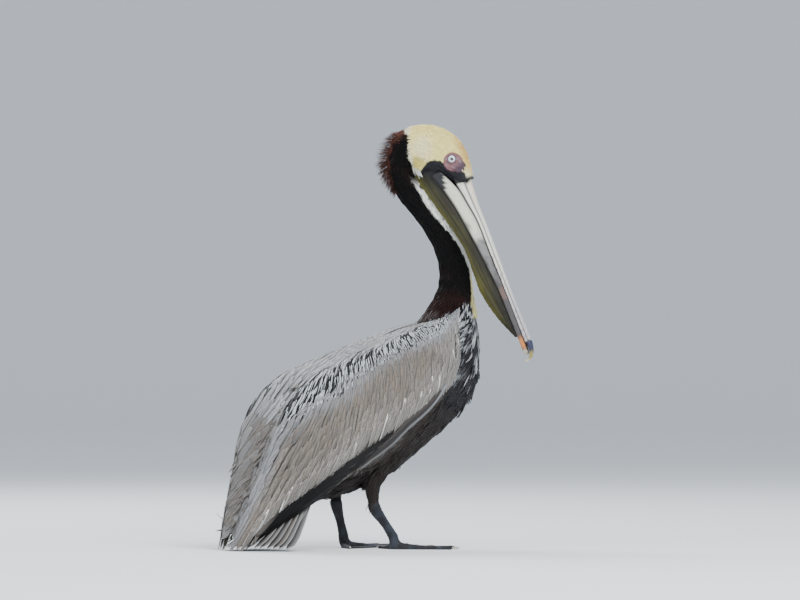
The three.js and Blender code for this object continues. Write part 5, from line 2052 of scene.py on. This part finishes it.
class PELICAN_OT_bill(PieceOperator):
    """Builds the upper bill, its nail and the lower jaw"""

    bl_idname = "pelican.bill"
    bl_label = "Bill"

    def build(self, given):
        horn = named_material("Horn")
        upper = horn_piece("upper_bill", [(upper_bill_shape(), upper_bill_colours)], horn)
        finish_piece(upper, "bill_horn", "bill_upper")
        lower = horn_piece("lower_bill", [(jaw_shape(), jaw_colours)], horn)
        finish_piece(lower, "bill_horn", "bill_lower")
        nail = horn_piece("nail", [(nail_shape(), nail_colours)], horn)
        finish_piece(nail, "nail_horn", "bill_nail")


class PELICAN_OT_eyes(PieceOperator):
    """Builds both eyes"""

    bl_idname = "pelican.eyes"
    bl_label = "Eyes"

    def build(self, given):
        finish_piece(eyeballs(named_material("Eye")), "eye", "eye_right", "eye_left")


class PELICAN_OT_claws(PieceOperator):
    """Smooths the claws"""

    bl_idname = "pelican.claws"
    bl_label = "Claws"

    def build(self, given):
        piece, names = claws(named_material("Claw"))
        finish_piece(piece, "claw_horn", *names)


class PELICAN_OT_stage(PieceOperator):
    """Sets the floor that curves up into a backdrop, the lights and the camera"""

    bl_idname = "pelican.stage"
    bl_label = "Stage"

    def build(self, given):
        turns = np.linspace(0, 2 * math.pi, 96, endpoint=False)
        bend = np.radians(np.linspace(0, 90, 16))
        radii = np.concatenate([[0.4, 2, 6, 11], 12 + 4 * np.sin(bend)])
        heights = np.concatenate([[0, 0, 0, 0], 4 - 4 * np.cos(bend)])
        radii, heights = np.append(radii, 16), np.append(heights, 9)
        rings = np.stack([
            radii[:, None] * np.cos(turns), radii[:, None] * np.sin(turns),
            np.broadcast_to(heights[:, None], (len(radii), len(turns))),
        ], -1)
        blocks = tube_faces(len(radii), len(turns), closed=False)
        blocks = [blocks[0], np.arange(len(turns))[None]]
        floor = make_mesh("Floor", to_bird(rings.reshape(-1, 3)), blocks)
        floor.data.materials.append(material("Backdrop", Base_Color=(0.8, 0.82, 0.84, 1), Roughness=0.9))
        turn = given.azimuth
        back = np.array([math.sin(turn), -math.cos(turn), 0])
        right = np.array([math.cos(turn), math.sin(turn), 0])
        for name, place, energy, size in [
            ("Key", 2.6 * back + 1.6 * right + [0, 0, 3.2], 210, 2.0),
            ("Fill", 2.8 * back - 2.8 * right + [0, 0, 1.4], 70, 2.6),
            ("Rim", -2.4 * back - 1.4 * right + [0, 0, 2.8], 120, 2.0),
        ]:
            light = bpy.data.lights.new(name, "AREA")
            light.energy = energy
            light.size = size
            lamp = bpy.data.objects.new(name, light)
            lamp.location = place
            aim = np.array(given.aim) - place
            lamp.rotation_euler = direction_euler(aim)
            bpy.context.scene.collection.objects.link(lamp)
        world = bpy.data.worlds.new("Studio")
        world.use_nodes = True
        world.node_tree.nodes["Background"].inputs["Color"].default_value = (0.86, 0.92, 1.0, 1)
        world.node_tree.nodes["Background"].inputs["Strength"].default_value = 0.88
        bpy.context.scene.world = world
        lens = bpy.data.cameras.new("Camera")
        lens.sensor_width = 36
        lens.lens = 36 * given.away / given.frame_width
        lens.clip_end = 100
        lens.dof.use_dof = False
        camera = bpy.data.objects.new("Camera", lens)
        camera.location = np.array(given.aim) + back * given.away
        camera.rotation_euler = direction_euler(-back)
        bpy.context.scene.collection.objects.link(camera)
        bpy.context.scene.camera = camera


def direction_euler(way):
    """Turns of a lamp or camera that looks along a direction, upright."""
    way = way / np.linalg.norm(way)
    return (math.acos(-way[2]), 0.0, math.atan2(way[1], way[0]) - math.pi / 2)


OPERATORS = (
    PELICAN_OT_skin,
    PELICAN_OT_short_feathers,
    PELICAN_OT_wing_feathers,
    PELICAN_OT_flight_feathers,
    PELICAN_OT_tail,
    PELICAN_OT_crest,
    PELICAN_OT_bill,
    PELICAN_OT_eyes,
    PELICAN_OT_claws,
    PELICAN_OT_stage,
)


class PELICAN_PT_panel(bpy.types.Panel):
    """Lists the bird's sizes and the steps that build it"""

    bl_label = "Pelican"
    bl_idname = "PELICAN_PT_panel"
    bl_space_type = "VIEW_3D"
    bl_region_type = "UI"
    bl_category = "Pelican"

    def draw(self, context):
        for name in BirdSizes.__annotations__:
            self.layout.prop(context.scene.pelican, name)
        for operator in OPERATORS:
            self.layout.operator(operator.bl_idname)


def register():
    bpy.utils.register_class(BirdSizes)
    bpy.types.Scene.pelican = PointerProperty(type=BirdSizes)
    for thing in (*OPERATORS, PELICAN_PT_panel):
        bpy.utils.register_class(thing)


def unregister():
    for thing in (PELICAN_PT_panel, *reversed(OPERATORS)):
        bpy.utils.unregister_class(thing)
    del bpy.types.Scene.pelican
    bpy.utils.unregister_class(BirdSizes)


def main():
    register()
    for operator in OPERATORS:
        group, name = operator.bl_idname.split(".")
        if getattr(getattr(bpy.ops, group), name)() != {"FINISHED"}:
            raise RuntimeError(f"{operator.bl_label} did not finish")


if __name__ == "__main__":
    main()
